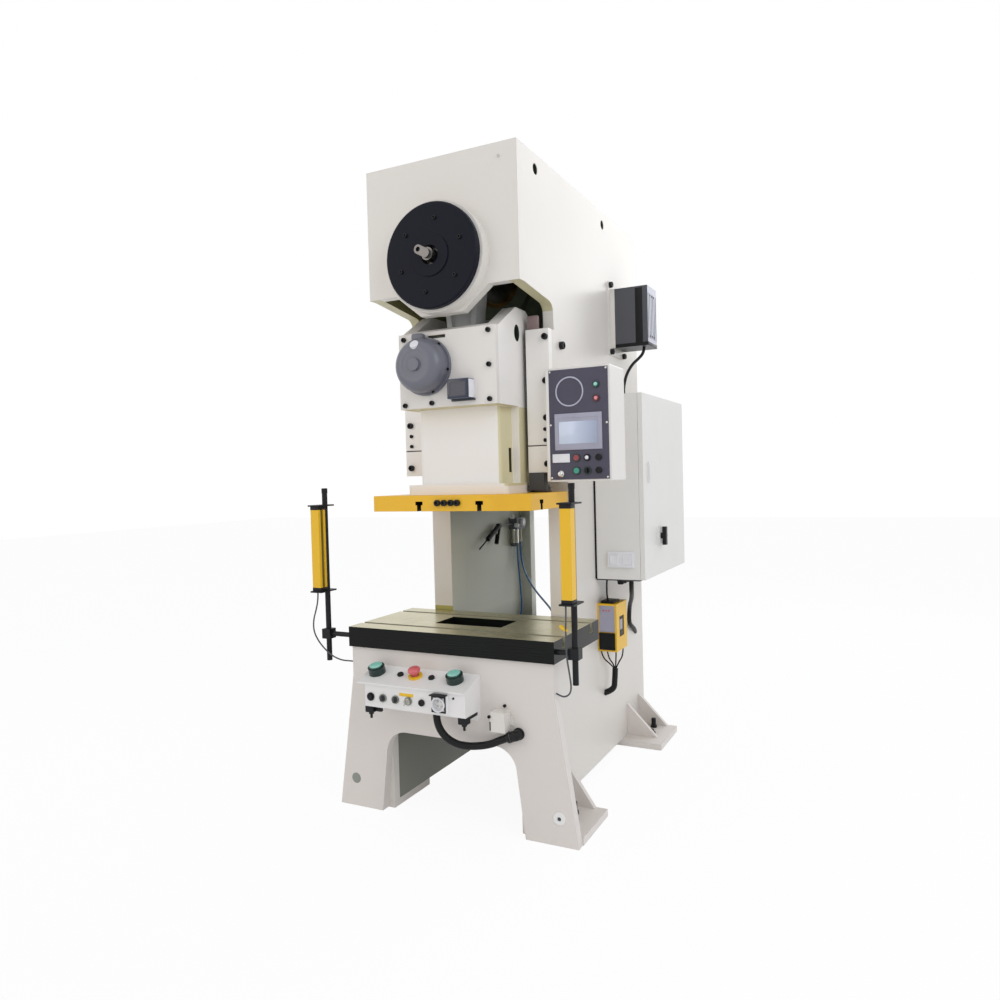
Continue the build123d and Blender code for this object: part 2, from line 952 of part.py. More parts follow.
# Crankshaft at top dead centre, with its nose and the lug on it
with BuildPart() as crankshaft:
    front_web_y = slide_y - pin_length / 2 - web_thickness
    rear_web_y = slide_y + pin_length / 2
    rear_journal_end = wall_boss_y + wall_bore_length
    shaft_end_y = front_y + shaft_end_setback
    bar((0, journal_end_y, crank_z), forward, nose_radius, nose_length)
    bar((0, journal_end_y, crank_z), along_y, journal_radius, front_web_y - journal_end_y)
    for web_y in (front_web_y, rear_web_y):
        with BuildSketch(Plane.XZ.offset(-web_y)) as web:
            with Locations((0, crank_z), (0, crank_z + throw)):
                Circle(web_radius)
            make_hull()
        extrude(amount=-web_thickness)
    bar((0, slide_y - pin_length / 2, crank_z + throw), along_y, pin_radius, pin_length)
    rear_journal_y = rear_web_y + web_thickness
    bar((0, rear_journal_y, crank_z), along_y, journal_radius, rear_journal_end - rear_journal_y)
    bar((0, rear_journal_end, crank_z), along_y, shaft_radius, shaft_end_y - rear_journal_end)
    lug_y = journal_end_y - nose_length
    with BuildSketch(Plane.XZ.offset(-lug_y)):
        with Locations((0, crank_z), (-lug_length, crank_z + lug_width / 2)):
            Circle(lug_width / 2)
        make_hull()
        with Locations((-lug_length, crank_z + lug_width / 2)):
            Circle(lug_hole_radius, mode=Mode.SUBTRACT)
    extrude(amount=lug_thickness)
save(crankshaft, "crankshaft")

# Clutch and brake drum on the crankshaft, with cooling grooves
with BuildPart() as clutch_brake:
    clutch_y = front_y + clutch_setback
    bar((0, clutch_y, crank_z), along_y, clutch_radius, clutch_width)
    fin_pitch = clutch_width / (clutch_fin_count + 1)
    for fin in range(clutch_fin_count):
        fin_y = clutch_y + (fin + 1) * fin_pitch - clutch_fin_gap / 2
        with BuildSketch(mode=Mode.PRIVATE) as ring:
            Circle(clutch_radius + overrun)
            Circle(clutch_radius - clutch_fin_depth, mode=Mode.SUBTRACT)
        fin_place = Location((0, fin_y, crank_z), along_y)
        extrude(ring.sketch.moved(fin_place), amount=clutch_fin_gap, mode=Mode.SUBTRACT)
    bar((0, clutch_y, crank_z), along_y, shaft_radius + running_gap, clutch_width, Mode.SUBTRACT)
save(clutch_brake, "clutch_brake")

# Connecting rod, an I-section between two eyes, with its wrist pin in place
pin_z = crank_z + throw
wrist_z = pin_z - rod_length
rod_half = pin_length / 2 - rod_side_gap
with BuildPart() as connecting_rod:
    with BuildSketch(Plane.XZ.offset(-(slide_y - rod_half))):
        with Locations((0, pin_z)):
            Circle(big_end_radius)
        with Locations((0, wrist_z)):
            Circle(small_end_radius)
        make_hull()
        with Locations((0, pin_z)):
            Circle(pin_radius + running_gap, mode=Mode.SUBTRACT)
    extrude(amount=-2 * rod_half)
    recess_top_z = pin_z - rod_recess_top
    recess_bottom_z = pin_z - rod_recess_bottom
    taper = (big_end_radius - small_end_radius) / rod_length
    for face_y, side in ((slide_y - rod_half, -1), (slide_y + rod_half, 1)):
        with BuildSketch(Plane.XZ.offset(-face_y)):
            with BuildLine():
                top_half = big_end_radius - taper * rod_recess_top - rod_recess_margin
                bottom_half = big_end_radius - taper * rod_recess_bottom - rod_recess_margin
                Polyline(
                    (-top_half, recess_top_z),
                    (top_half, recess_top_z),
                    (bottom_half, recess_bottom_z),
                    (-bottom_half, recess_bottom_z),
                    close=True,
                )
            make_face()
        extrude(amount=side * rod_recess_depth, mode=Mode.SUBTRACT)
save(connecting_rod, "connecting_rod")

# Adjusting screw with the forked saddle that takes the small end of the rod
saddle_floor_z = wrist_z - small_end_radius - saddle_gap_below
saddle_bottom_z = saddle_floor_z - saddle_block
saddle_half_y = pin_length / 2 + saddle_cheek
with BuildPart() as adjusting_screw:
    saddle_x = (-saddle_half_x, saddle_half_x)
    saddle_z = (saddle_bottom_z, wrist_z + saddle_cheek_top)
    block(saddle_x, (slide_y - saddle_half_y, slide_y + saddle_half_y), saddle_z)
    block(
        (-saddle_half_x - overrun, saddle_half_x + overrun),
        (slide_y - pin_length / 2, slide_y + pin_length / 2),
        (saddle_floor_z, wrist_z + saddle_cheek_top + overrun),
        Mode.SUBTRACT,
    )
    bar((0, slide_y, saddle_bottom_z), downward, screw_radius, screw_length)
save(adjusting_screw, "adjusting_screw")

# Slide: a box open at the top, with raised ears, side ways and a narrower neck in front
slide_front_y = front_y + slide_front_setback
slide_rear_y = front_y + slide_rear_setback
cavity_floor_z = saddle_bottom_z - cavity_gap
plate_top_z = slide_plate_bottom_z + slide_plate_thickness
with BuildPart() as slide_body:
    ear_y = slide_front_y + ear_slope_run
    with BuildSketch(Plane.YZ.offset(-slide_half_width)):
        with BuildLine():
            Polyline(
                (slide_front_y, slide_shoulder_z),
                (slide_front_y, slide_front_top_z),
                (ear_y, ear_top_z),
                (ear_y + ear_flat_run, ear_top_z),
                (slide_rear_y, ear_top_z - ear_rear_drop),
                (slide_rear_y, slide_shoulder_z),
                close=True,
            )
        make_face()
    extrude(amount=2 * slide_half_width)
    lower_y = (front_y + lower_front_setback, slide_rear_y)
    with BuildSketch(Plane.XY.offset(plate_top_z)) as neck:
        with Locations((0, sum(lower_y) / 2)):
            Rectangle(2 * lower_half_width, lower_y[1] - lower_y[0])
        fillet(neck.vertices().group_by(Axis.Y)[0], lower_corner_radius)
    extrude(amount=slide_shoulder_z - plate_top_z)
    with BuildSketch(Plane.XY.offset(plate_top_z)) as foot:
        flange_y = (front_y + flange_front_setback, front_y + flange_rear_setback)
        with Locations((0, sum(flange_y) / 2)):
            Rectangle(2 * flange_half_width, flange_y[1] - flange_y[0])
        fillet(foot.vertices().group_by(Axis.Y)[0], lower_corner_radius)
    extrude(amount=flange_thickness)
    for hand in (-1, 1):
        block(
            (hand * slide_half_width, hand * (groove_x - way_gap)),
            (groove_y + way_gap, groove_y + groove_width - way_gap),
            (way_bottom_z, way_top_z),
        )
    block(
        (-slide_half_width, slide_half_width),
        (slide_y + rear_block_shift, slide_rear_y),
        (plate_top_z + flange_thickness, slide_shoulder_z),
    )
    block(
        (-cavity_half_x, cavity_half_x),
        (slide_front_y + cavity_front_wall, slide_rear_y - cavity_rear_wall),
        (cavity_floor_z, ear_top_z + overrun),
        Mode.SUBTRACT,
    )
    screw_bore = screw_length + cavity_gap
    bar((0, slide_y, cavity_floor_z), downward, screw_radius + screw_gap, screw_bore, Mode.SUBTRACT)
    slot_top_z = knockout_slot_bottom_z + knockout_slot_height
    block(
        (-slide_half_width - overrun, slide_half_width + overrun),
        (slide_y - knockout_slot_width / 2, slide_y + knockout_slot_width / 2),
        (knockout_slot_bottom_z, slot_top_z),
        Mode.SUBTRACT,
    )
    with BuildSketch(Plane.YZ.offset(-slide_half_width - overrun)):
        with Locations((slide_y + ear_hole_shift, ear_hole_z)):
            Ellipse(ear_hole_width / 2, ear_hole_height / 2)
    extrude(amount=2 * (slide_half_width + overrun), mode=Mode.SUBTRACT)
save(slide_body, "slide_body")

# Bolted front cover of the slide
with BuildPart() as slide_cover:
    block(
        (-slide_half_width, slide_half_width),
        (slide_front_y - cover_thickness, slide_front_y),
        (slide_shoulder_z, slide_front_top_z),
    )
    cover_slot_z = slide_front_top_z - cover_slot_drop
    block(
        (cover_slot_x - cover_slot_length / 2, cover_slot_x + cover_slot_length / 2),
        (slide_front_y - cover_thickness - overrun, slide_front_y + overrun),
        (cover_slot_z - cover_slot_height / 2, cover_slot_z + cover_slot_height / 2),
        Mode.SUBTRACT,
    )
save(slide_cover, "slide_cover")

# Slide plate with two tee slots from front to rear, one across, and the shank hole
with BuildPart() as slide_plate:
    plate_y = front_y + slide_plate_front_setback
    plate_limits_y = (plate_y, plate_y + slide_plate_depth)
    plate_limits_x = (-slide_plate_half_width, slide_plate_half_width)
    block(plate_limits_x, plate_limits_y, (slide_plate_bottom_z, plate_top_z))
    tee_z = slide_plate_bottom_z + plate_neck_depth
    neck_limits = (slide_plate_bottom_z - overrun, tee_z)
    tee_limits = (tee_z, tee_z + plate_tee_height)
    for width, limits in ((plate_neck_width, neck_limits), (plate_tee_width, tee_limits)):
        for hand in (-1, 1):
            block(
                (hand * plate_slot_x - width / 2, hand * plate_slot_x + width / 2),
                (plate_y - overrun, plate_y + slide_plate_depth + overrun),
                limits,
                Mode.SUBTRACT,
            )
        cross_y = front_y + cross_slot_setback
        block(
            (-slide_plate_half_width - overrun, slide_plate_half_width + overrun),
            (cross_y - width / 2, cross_y + width / 2),
            limits,
            Mode.SUBTRACT,
        )
    bar((0, slide_y, slide_plate_bottom_z), upward, shank_radius, slide_plate_thickness, Mode.SUBTRACT)
save(slide_plate, "slide_plate")

# Domed geared motor that sets the die height
cover_y = slide_front_y - cover_thickness
with BuildPart() as adjust_motor:
    dome_plane = Plane(origin=(adjust_motor_x, cover_y, adjust_motor_z), x_dir=(1, 0, 0), z_dir=(0, 0, 1))
    with BuildSketch(dome_plane):
        with BuildLine():
            Polyline(
                (0, 0),
                (adjust_rim_radius, 0),
                (adjust_rim_radius, -adjust_rim_height),
                (adjust_body_radius, -adjust_rim_height),
                (adjust_body_radius, -adjust_body_height),
            )
            TangentArc(
                (adjust_body_radius, -adjust_body_height),
                (adjust_crown_radius, -adjust_crown_height),
                tangent=(0, -1),
            )
            Polyline(
                (adjust_crown_radius, -adjust_crown_height),
                (adjust_knob_radius, -adjust_crown_height),
                (adjust_knob_radius, -adjust_knob_height),
                (0, -adjust_knob_height),
                (0, 0),
            )
        make_face()
    revolve(axis=Axis((adjust_motor_x, cover_y, adjust_motor_z), (0, 1, 0)))
save(adjust_motor, "adjust_motor")

# Die height counter
with BuildPart() as die_height_counter:
    counter_limits_x = (counter_x - counter_width / 2, counter_x + counter_width / 2)
    counter_limits_z = (counter_z - counter_height / 2, counter_z + counter_height / 2)
    counter_y = cover_y - counter_depth
    block(counter_limits_x, (counter_y, cover_y), counter_limits_z)
    block(
        (counter_limits_x[0] + counter_window_margin, counter_limits_x[1] - counter_window_margin),
        (counter_y - overrun, counter_y + counter_window_depth),
        (counter_z - counter_window_margin, counter_z + counter_window_margin),
        Mode.SUBTRACT,
    )
save(die_height_counter, "die_height_counter")


# Places of the belts along the shaft, and the grooves that take them
def belt_offsets():
    return [(i - (belt_count - 1) / 2) * belt_pitch for i in range(belt_count)]


def ring_groove(center_z, radius):
    for offset_y in belt_offsets():
        groove_start = belt_y + offset_y - groove_ring_width / 2
        with BuildSketch(mode=Mode.PRIVATE) as ring:
            Circle(radius + overrun)
            Circle(radius - groove_ring_depth, mode=Mode.SUBTRACT)
        ring_place = Location((0, groove_start, center_z), along_y)
        extrude(ring.sketch.moved(ring_place), amount=groove_ring_width, mode=Mode.SUBTRACT)


with BuildPart() as flywheel:
    bar((0, flywheel_y, crank_z), along_y, flywheel_radius, flywheel_width)
    for recess_y, turn in ((flywheel_y, along_y), (flywheel_y + flywheel_width, forward)):
        with BuildSketch(mode=Mode.PRIVATE) as dish:
            Circle(flywheel_recess_outer)
            Circle(flywheel_recess_inner, mode=Mode.SUBTRACT)
        dish_place = Location((0, recess_y, crank_z), turn)
        extrude(dish.sketch.moved(dish_place), amount=flywheel_recess_depth, mode=Mode.SUBTRACT)
    ring_groove(crank_z, flywheel_radius)
    bar((0, flywheel_y, crank_z), along_y, shaft_radius + running_gap, flywheel_width, Mode.SUBTRACT)
save(flywheel, "flywheel")

# Motor pulley with the motor's shaft
with BuildPart() as motor_pulley:
    bar((0, pulley_y, motor_z), along_y, pulley_radius, pulley_width)
    ring_groove(motor_z, pulley_radius)
    shaft_reach = pulley_width + motor_gap + motor_shaft_length
    bar((0, pulley_y, motor_z), along_y, motor_shaft_radius, shaft_reach)
save(motor_pulley, "motor_pulley")

# Belts between the flywheel and the motor pulley
wheel_seat = flywheel_radius - groove_ring_depth + belt_seat_gap
pulley_seat = pulley_radius - groove_ring_depth + belt_seat_gap
with BuildPart() as v_belts:
    for offset_y in belt_offsets():
        belt_start = belt_y + offset_y - belt_width / 2
        for height, mode in ((belt_height, Mode.ADD), (0, Mode.SUBTRACT)):
            with BuildSketch(Plane.XZ.offset(-belt_start)):
                with Locations((0, crank_z)):
                    Circle(wheel_seat + height)
                with Locations((0, motor_z)):
                    Circle(pulley_seat + height)
                make_hull()
            extrude(amount=-belt_width, mode=mode)
save(v_belts, "v_belts")

# Drive motor on its shelf
with BuildPart() as drive_motor:
    bar((0, motor_y, motor_z), along_y, motor_radius, motor_length)
    rib_pitch = motor_length / (motor_rib_count + 1)
    for rib in range(motor_rib_count):
        rib_y = motor_y + (rib + 1) * rib_pitch - motor_rib_width / 2
        bar((0, rib_y, motor_z), along_y, motor_radius + motor_rib_height, motor_rib_width)
    motor_foot_y = motor_y + motor_foot_inset
    block(
        (-motor_foot_width / 2, motor_foot_width / 2),
        (motor_foot_y, motor_foot_y + motor_foot_length),
        (shelf_top_z, motor_z - motor_radius / 2),
    )
    block(
        (-motor_terminal_width / 2, motor_terminal_width / 2),
        (motor_foot_y, motor_foot_y + motor_terminal_length),
        (motor_z, motor_z + motor_radius + motor_terminal_height),
    )
    shaft_hole = motor_shaft_radius + running_gap
    bar((0, motor_y, motor_z), along_y, shaft_hole, motor_shaft_length + overrun, Mode.SUBTRACT)
save(drive_motor, "drive_motor")

# Operator panel: housing, front plate and its fixed fittings
hmi_x = half_width
hmi_face_y = gib_front_y - hmi_reach
hmi_top_z = hmi_bottom_z + hmi_height
hmi_seat_y = hmi_face_y + hmi_panel_thickness
hmi_buttons = {
    "hmi_start_button": (hmi_x + button_column_x, hmi_bottom_z + button_lower_z),
    "hmi_stop_button": (hmi_x + button_column_x, hmi_bottom_z + button_upper_z),
    "hmi_selector": (hmi_x + selector_column_x, hmi_bottom_z + button_lower_z),
}
hole_radius = button_radius + button_clearance
button_room = button_stem + button_travel + button_clearance
with BuildPart() as hmi_box:
    block((hmi_x, hmi_x + hmi_width), (hmi_seat_y, hmi_seat_y + hmi_depth), (hmi_bottom_z, hmi_top_z))
    fillet(hmi_box.edges().filter_by(Axis.Y).group_by(Axis.X)[-1], hmi_corner_radius)
    for button_x, button_z in hmi_buttons.values():
        bar((button_x, hmi_seat_y, button_z), along_y, hole_radius, button_room, Mode.SUBTRACT)
save(hmi_box, "hmi_box")

with BuildPart() as hmi_panel:
    panel_x = (hmi_x + hmi_panel_margin, hmi_x + hmi_width - hmi_panel_margin)
    panel_z = (hmi_bottom_z + hmi_panel_margin, hmi_top_z - hmi_panel_margin)
    block(panel_x, (hmi_face_y, hmi_seat_y), panel_z)
    screen_limits_x = (hmi_x + screen_x - screen_width / 2, hmi_x + screen_x + screen_width / 2)
    screen_limits_z = (
        hmi_bottom_z + screen_z - screen_height / 2,
        hmi_bottom_z + screen_z + screen_height / 2,
    )
    block(screen_limits_x, (hmi_face_y - bezel_height, hmi_face_y), screen_limits_z)
    block(
        (screen_limits_x[0] + bezel_width, screen_limits_x[1] - bezel_width),
        (hmi_face_y - bezel_height - overrun, hmi_face_y - bezel_height + bezel_recess),
        (screen_limits_z[0] + bezel_width, screen_limits_z[1] - bezel_width),
        Mode.SUBTRACT,
    )
    block(
        (hmi_x + meter_x - meter_width / 2, hmi_x + meter_x + meter_width / 2),
        (hmi_face_y - meter_thickness, hmi_face_y),
        (hmi_bottom_z + meter_z - meter_height / 2, hmi_bottom_z + meter_z + meter_height / 2),
    )
    lamp_places = (
        (lamp_column_x, lamp_upper_z),
        (lamp_column_x, lamp_lower_z),
        (meter_x, meter_z - meter_knob_drop),
        (selector_column_x, button_upper_z),
        (plug_column_x, button_upper_z),
        (plug_column_x, button_lower_z),
    )
    for lamp_x, lamp_z in lamp_places:
        bar((hmi_x + lamp_x, hmi_face_y, hmi_bottom_z + lamp_z), forward, lamp_radius, lamp_height)
    for button_x, button_z in hmi_buttons.values():
        bar((button_x, hmi_seat_y, button_z), forward, hole_radius, hmi_panel_thickness, Mode.SUBTRACT)
save(hmi_panel, "hmi_panel")


# A push button: a stem in its hole and a head in front
def push_button(place, y):
    with BuildPart() as button:
        bar((place[0], y + button_stem, place[1]), forward, button_radius, button_stem + button_height)
        chamfer(button.edges().group_by(Axis.Y)[0], button_clearance)
    return button


# A selector: the stem and head of a button, with a raised bar to turn it by
def selector(place, y):
    with BuildPart() as knob:
        bar((place[0], y + button_stem, place[1]), forward, button_radius, button_stem + knob_height)
        bar_front = y - knob_height - knob_bar_height
        block(
            (place[0] - knob_bar_width / 2, place[0] + knob_bar_width / 2),
            (bar_front, y - knob_height),
            (place[1] - knob_bar_share * knob_radius, place[1] + knob_bar_share * knob_radius),
        )
    return knob


save(push_button(hmi_buttons["hmi_start_button"], hmi_seat_y), "hmi_start_button")
save(push_button(hmi_buttons["hmi_stop_button"], hmi_seat_y), "hmi_stop_button")
save(selector(hmi_buttons["hmi_selector"], hmi_seat_y), "hmi_selector")

# Electrical cabinet: an open sheet box with a lip, glands below and hinge pins behind
cabinet_y = front_y + cabinet_setback
cabinet_end_y = cabinet_y + cabinet_length
cabinet_top_z = cabinet_bottom_z + cabinet_height
cabinet_face_x = half_width + cabinet_depth
hinge_y = cabinet_end_y + hinge_offset
hinge_x = cabinet_face_x + door_gap / 2
hinge_bottoms = (
    cabinet_bottom_z + hinge_inset,
    cabinet_top_z - hinge_inset - 2 * hinge_knuckle,
)
with BuildPart() as cabinet_body:
    block((half_width, cabinet_face_x), (cabinet_y, cabinet_end_y), (cabinet_bottom_z, cabinet_top_z))
    block(
        (half_width + cabinet_wall, cabinet_face_x - cabinet_wall),
        (cabinet_y + cabinet_wall, cabinet_end_y - cabinet_wall),
        (cabinet_bottom_z + cabinet_wall, cabinet_top_z - cabinet_wall),
        Mode.SUBTRACT,
    )
    block(
        (cabinet_face_x - cabinet_wall, cabinet_face_x + overrun),
        (cabinet_y + cabinet_lip, cabinet_end_y - cabinet_lip),
        (cabinet_bottom_z + cabinet_lip, cabinet_top_z - cabinet_lip),
        Mode.SUBTRACT,
    )
    for gland in range(gland_count):
        gland_y = cabinet_y + gland_front_inset + gland * gland_pitch
        gland_place = (half_width + cabinet_depth / 2, gland_y, cabinet_bottom_z)
        bar(gland_place, downward, gland_radius, gland_length)
    for hinge_z in hinge_bottoms:
        block(
            (hinge_x - hinge_radius, hinge_x - door_gap / 2),
            (cabinet_end_y - cabinet_wall, hinge_y),
            (hinge_z, hinge_z + hinge_knuckle),
        )
        bar((hinge_x, hinge_y, hinge_z), upward, hinge_radius, hinge_knuckle)
        bar((hinge_x, hinge_y, hinge_z), upward, hinge_pin_radius, 2 * hinge_knuckle)
save(cabinet_body, "cabinet_body")

# Mounting plate and switchgear inside the cabinet
with BuildPart() as electrical_panel:
    back_x = half_width + cabinet_wall
    back_front_x = back_x + back_panel_thickness
    block(
        (back_x, back_front_x),
        (cabinet_y + back_panel_margin, cabinet_end_y - back_panel_margin),
        (cabinet_bottom_z + back_panel_margin, cabinet_top_z - back_panel_margin),
    )
    rail_blocks = int((cabinet_length - 2 * back_panel_margin) // rail_block_pitch)
    for row in rail_row_heights:
        for place in range(rail_blocks):
            block_y = cabinet_y + back_panel_margin + rail_block_inset + place * rail_block_pitch
            block(
                (back_front_x, back_front_x + rail_block_depth),
                (block_y, block_y + rail_block_length),
                (cabinet_bottom_z + row, cabinet_bottom_z + row + rail_block_height),
            )
save(electrical_panel, "electrical_panel")

# Cabinet door: a shallow pan with hinge knuckles, a latch plate and the handle's plate
door_back_x = cabinet_face_x + door_gap
door_face_x = door_back_x + door_thickness
handle_y = front_y + handle_setback
with BuildPart() as cabinet_door:
    block((door_back_x, door_face_x), (cabinet_y, cabinet_end_y), (cabinet_bottom_z, cabinet_top_z))
    block(
        (door_back_x - overrun, door_face_x - door_skin),
        (cabinet_y + door_skin, cabinet_end_y - door_skin),
        (cabinet_bottom_z + door_skin, cabinet_top_z - door_skin),
        Mode.SUBTRACT,
    )
    for hinge_z in hinge_bottoms:
        knuckle_z = hinge_z + hinge_knuckle + way_gap
        knuckle_length = hinge_knuckle - way_gap
        block(
            (door_back_x, door_back_x + hinge_tab),
            (cabinet_end_y - door_skin, hinge_y),
            (knuckle_z, knuckle_z + knuckle_length),
        )
        bar((hinge_x, hinge_y, knuckle_z), upward, hinge_radius, knuckle_length)
        pin_hole = hinge_pin_radius + running_gap
        bar((hinge_x, hinge_y, knuckle_z), upward, pin_hole, knuckle_length, Mode.SUBTRACT)
    block(
        (door_face_x, door_face_x + handle_plate_thickness),
        (handle_y - handle_plate_width / 2, handle_y + handle_plate_width / 2),
        (handle_z - handle_plate_height / 2, handle_z + handle_plate_height / 2),
    )
    latch_y = front_y + latch_setback
    block(
        (door_face_x, door_face_x + latch_thickness),
        (latch_y - latch_width / 2, latch_y + latch_width / 2),
        (latch_z - latch_height / 2, latch_z + latch_height / 2),
    )
    shaft_bore = handle_shaft_radius + running_gap
    shaft_seat_x = door_face_x - door_skin
    bore_length = door_skin + handle_plate_thickness
    bar((shaft_seat_x, handle_y, handle_z), along_x, shaft_bore, bore_length, Mode.SUBTRACT)
save(cabinet_door, "cabinet_door")

# Main switch handle on the door
with BuildPart() as disconnect_handle:
    shaft_total = bore_length + handle_shaft_length
    bar((shaft_seat_x, handle_y, handle_z), along_x, handle_shaft_radius, shaft_total)
    grip_x = shaft_seat_x + shaft_total
    block(
        (grip_x - handle_bar_width, grip_x),
        (handle_y - handle_bar_height / 2, handle_y + handle_bar_height / 2),
        (handle_z - handle_bar_length / 2, handle_z + handle_bar_length / 2),
    )
save(disconnect_handle, "disconnect_handle")

# Inverter box and the bracket that carries it on the side plate
drive_y = front_y + drive_box_setback
drive_x = half_width + bracket_gap
drive_cable_fall = drive_box_share * (crown_top_z - cabinet_top_z)
drive_box_bottom_z = cabinet_top_z + drive_cable_fall
drive_top_z = drive_box_bottom_z + drive_box_height
with BuildPart() as drive_box:
    drive_limits_x = (drive_x, drive_x + drive_box_width)
    drive_end_y = drive_y + drive_box_length
    block(drive_limits_x, (drive_y, drive_end_y), (drive_box_bottom_z, drive_top_z))
    fin_step = drive_box_length / drive_box_fin_count
    for fin in range(drive_box_fin_count):
        fin_y = drive_y + fin * fin_step + fin_step / 2
        block(
            (drive_limits_x[1] - drive_box_fin_depth, drive_limits_x[1] + overrun),
            (fin_y - drive_box_fin_width / 2, fin_y + drive_box_fin_width / 2),
            (drive_box_bottom_z + bracket_overhang, drive_top_z - bracket_overhang),
            Mode.SUBTRACT,
        )
save(drive_box, "drive_box")

with BuildPart() as drive_box_bracket:
    bracket_z = (drive_box_bottom_z - bracket_overhang, drive_top_z + bracket_overhang)
    bracket_y = (drive_y - bracket_overhang, drive_y + drive_box_length + bracket_overhang)
    block((half_width, half_width + bracket_sheet), bracket_y, bracket_z)
    bracket_face_z = (drive_box_bottom_z, drive_top_z)
    for edge_y in (drive_y, drive_y + drive_box_length - bracket_sheet):
        block((half_width, drive_x), (edge_y, edge_y + bracket_sheet), bracket_face_z)
save(drive_box_bracket, "drive_box_bracket")

# Two-hand console with a sloping lid, on the front of the bed
console_front_y = front_y - console_depth
slope_rise = console_back_top_z - console_front_top_z
slope_angle = degrees(atan2(slope_rise, console_depth))
slope_normal = (0, -sin(radians(slope_angle)), cos(radians(slope_angle)))
palm_drop_y = console_front_y + palm_slope_share * console_depth
palm_base_z = console_front_top_z + palm_slope_share * slope_rise
lid_plane = Plane(origin=(0, palm_drop_y, palm_base_z), x_dir=(1, 0, 0), z_dir=slope_normal)
lid_face = lid_plane.offset(lid_thickness)
row_places = {
    "console_push_button": push_button_x,
    "mode_selector": mode_selector_x,
    "stroke_selector": stroke_selector_x,
    "key_switch": key_switch_x,
}
with BuildPart() as console_box:
    with BuildSketch(Plane.YZ.offset(console_left_x)):
        with BuildLine():
            Polyline(
                (front_y, console_bottom_z),
                (front_y, console_back_top_z),
                (console_front_y, console_front_top_z),
                (console_front_y, console_bottom_z),
                close=True,
            )
        make_face()
    extrude(amount=console_right_x - console_left_x)
    lid_rise = lid_thickness / cos(radians(slope_angle))
    lip_drop = lid_overhang_front * tan(radians(slope_angle))
    lid_front_y = console_front_y - lid_overhang_front
    with BuildSketch(Plane.YZ.offset(console_left_x - lid_overhang_left)):
        with BuildLine():
            Polyline(
                (front_y, console_back_top_z),
                (front_y, console_back_top_z + lid_rise),
                (lid_front_y, console_front_top_z - lip_drop + lid_rise),
                (lid_front_y, console_front_top_z - lip_drop),
                close=True,
            )
        make_face()
    extrude(amount=console_right_x - console_left_x + lid_overhang_left)
    block(
        (console_left_x, console_right_x),
        (front_y - ledge_depth, front_y),
        (console_bottom_z - ledge_height, console_bottom_z),
    )
    socket_limits_x = (socket_x - socket_width / 2, socket_x + socket_width / 2)
    socket_limits_z = (socket_z - socket_height / 2, socket_z + socket_height / 2)
    block(socket_limits_x, (console_front_y - socket_thickness, console_front_y), socket_limits_z)
    socket_face_y = console_front_y - socket_thickness
    bar((socket_x, socket_face_y, socket_z), along_y, socket_well_radius, socket_well_depth, Mode.SUBTRACT)
    bar((fuse_x, console_front_y, row_z), forward, button_radius, plug_height)
    with BuildSketch(lid_face):
        with Locations(*[(plug_x, 0) for plug_x in plug_places_x]):
            Circle(plug_radius)
    extrude(amount=plug_height)
    for place_x in row_places.values():
        bar((place_x, console_front_y, row_z), along_y, hole_radius, button_room, Mode.SUBTRACT)
    with BuildSketch(lid_face):
        with Locations((palm_left_x, 0), (palm_right_x, 0), (stop_button_x, 0)):
            Circle(palm_stem_radius + button_clearance)
    extrude(amount=-stem_depth - palm_travel, mode=Mode.SUBTRACT)
save(console_box, "console_box")

# Shrouds round the palm buttons, and collars of the other console and panel buttons
with BuildPart() as button_shrouds:
    for palm_x in (palm_left_x, palm_right_x):
        with BuildSketch(lid_face):
            with Locations((palm_x, 0)):
                Circle(palm_shroud_radius)
        extrude(amount=palm_shroud_height)
        with BuildSketch(lid_face.offset(lid_thickness)):
            with Locations((palm_x, 0)):
                Circle(palm_shroud_radius - palm_shroud_wall)
        extrude(amount=palm_shroud_height, mode=Mode.SUBTRACT)
    with BuildSketch(lid_face):
        with Locations((stop_button_x, 0)):
            Circle(stop_collar_radius)
    extrude(amount=stop_collar_height)
    with BuildSketch(lid_face):
        with Locations((palm_left_x, 0), (palm_right_x, 0), (stop_button_x, 0)):
            Circle(palm_stem_radius + button_clearance)
    extrude(amount=palm_shroud_height, mode=Mode.SUBTRACT)
    collar_radius = hole_radius + bezel_ring_width
    collar_places = [(place, hmi_face_y) for place in hmi_buttons.values()]
    collar_places += [((place_x, row_z), console_front_y) for place_x in row_places.values()]
    for (place_x, place_z), face_y in collar_places:
        bar((place_x, face_y, place_z), forward, collar_radius, bezel_ring_height)
        bar((place_x, face_y, place_z), forward, hole_radius, bezel_ring_height, Mode.SUBTRACT)
save(button_shrouds, "button_shrouds")


# A palm button: a broad cap on a stem that slides through the lid
def palm_button(palm_x):
    with BuildPart() as palm:
        with BuildSketch(lid_face.offset(-stem_depth)):
            with Locations((palm_x, 0)):
                Circle(palm_stem_radius)
        extrude(amount=stem_depth + palm_shroud_height - palm_cap_height / 2)
        with BuildSketch(lid_face.offset(palm_shroud_height - palm_cap_height / 2)):
            with Locations((palm_x, 0)):
                Circle(palm_shroud_radius - palm_shroud_wall - button_clearance)
        extrude(amount=palm_cap_height)
        cap_edges = palm.edges().filter_by(GeomType.CIRCLE)
        top_edge = cap_edges.sort_by(Axis((0, 0, 0), slope_normal))[-1]
        fillet(top_edge, palm_cap_rounding)
    return palm


save(palm_button(palm_left_x), "palm_button_left")
save(palm_button(palm_right_x), "palm_button_right")

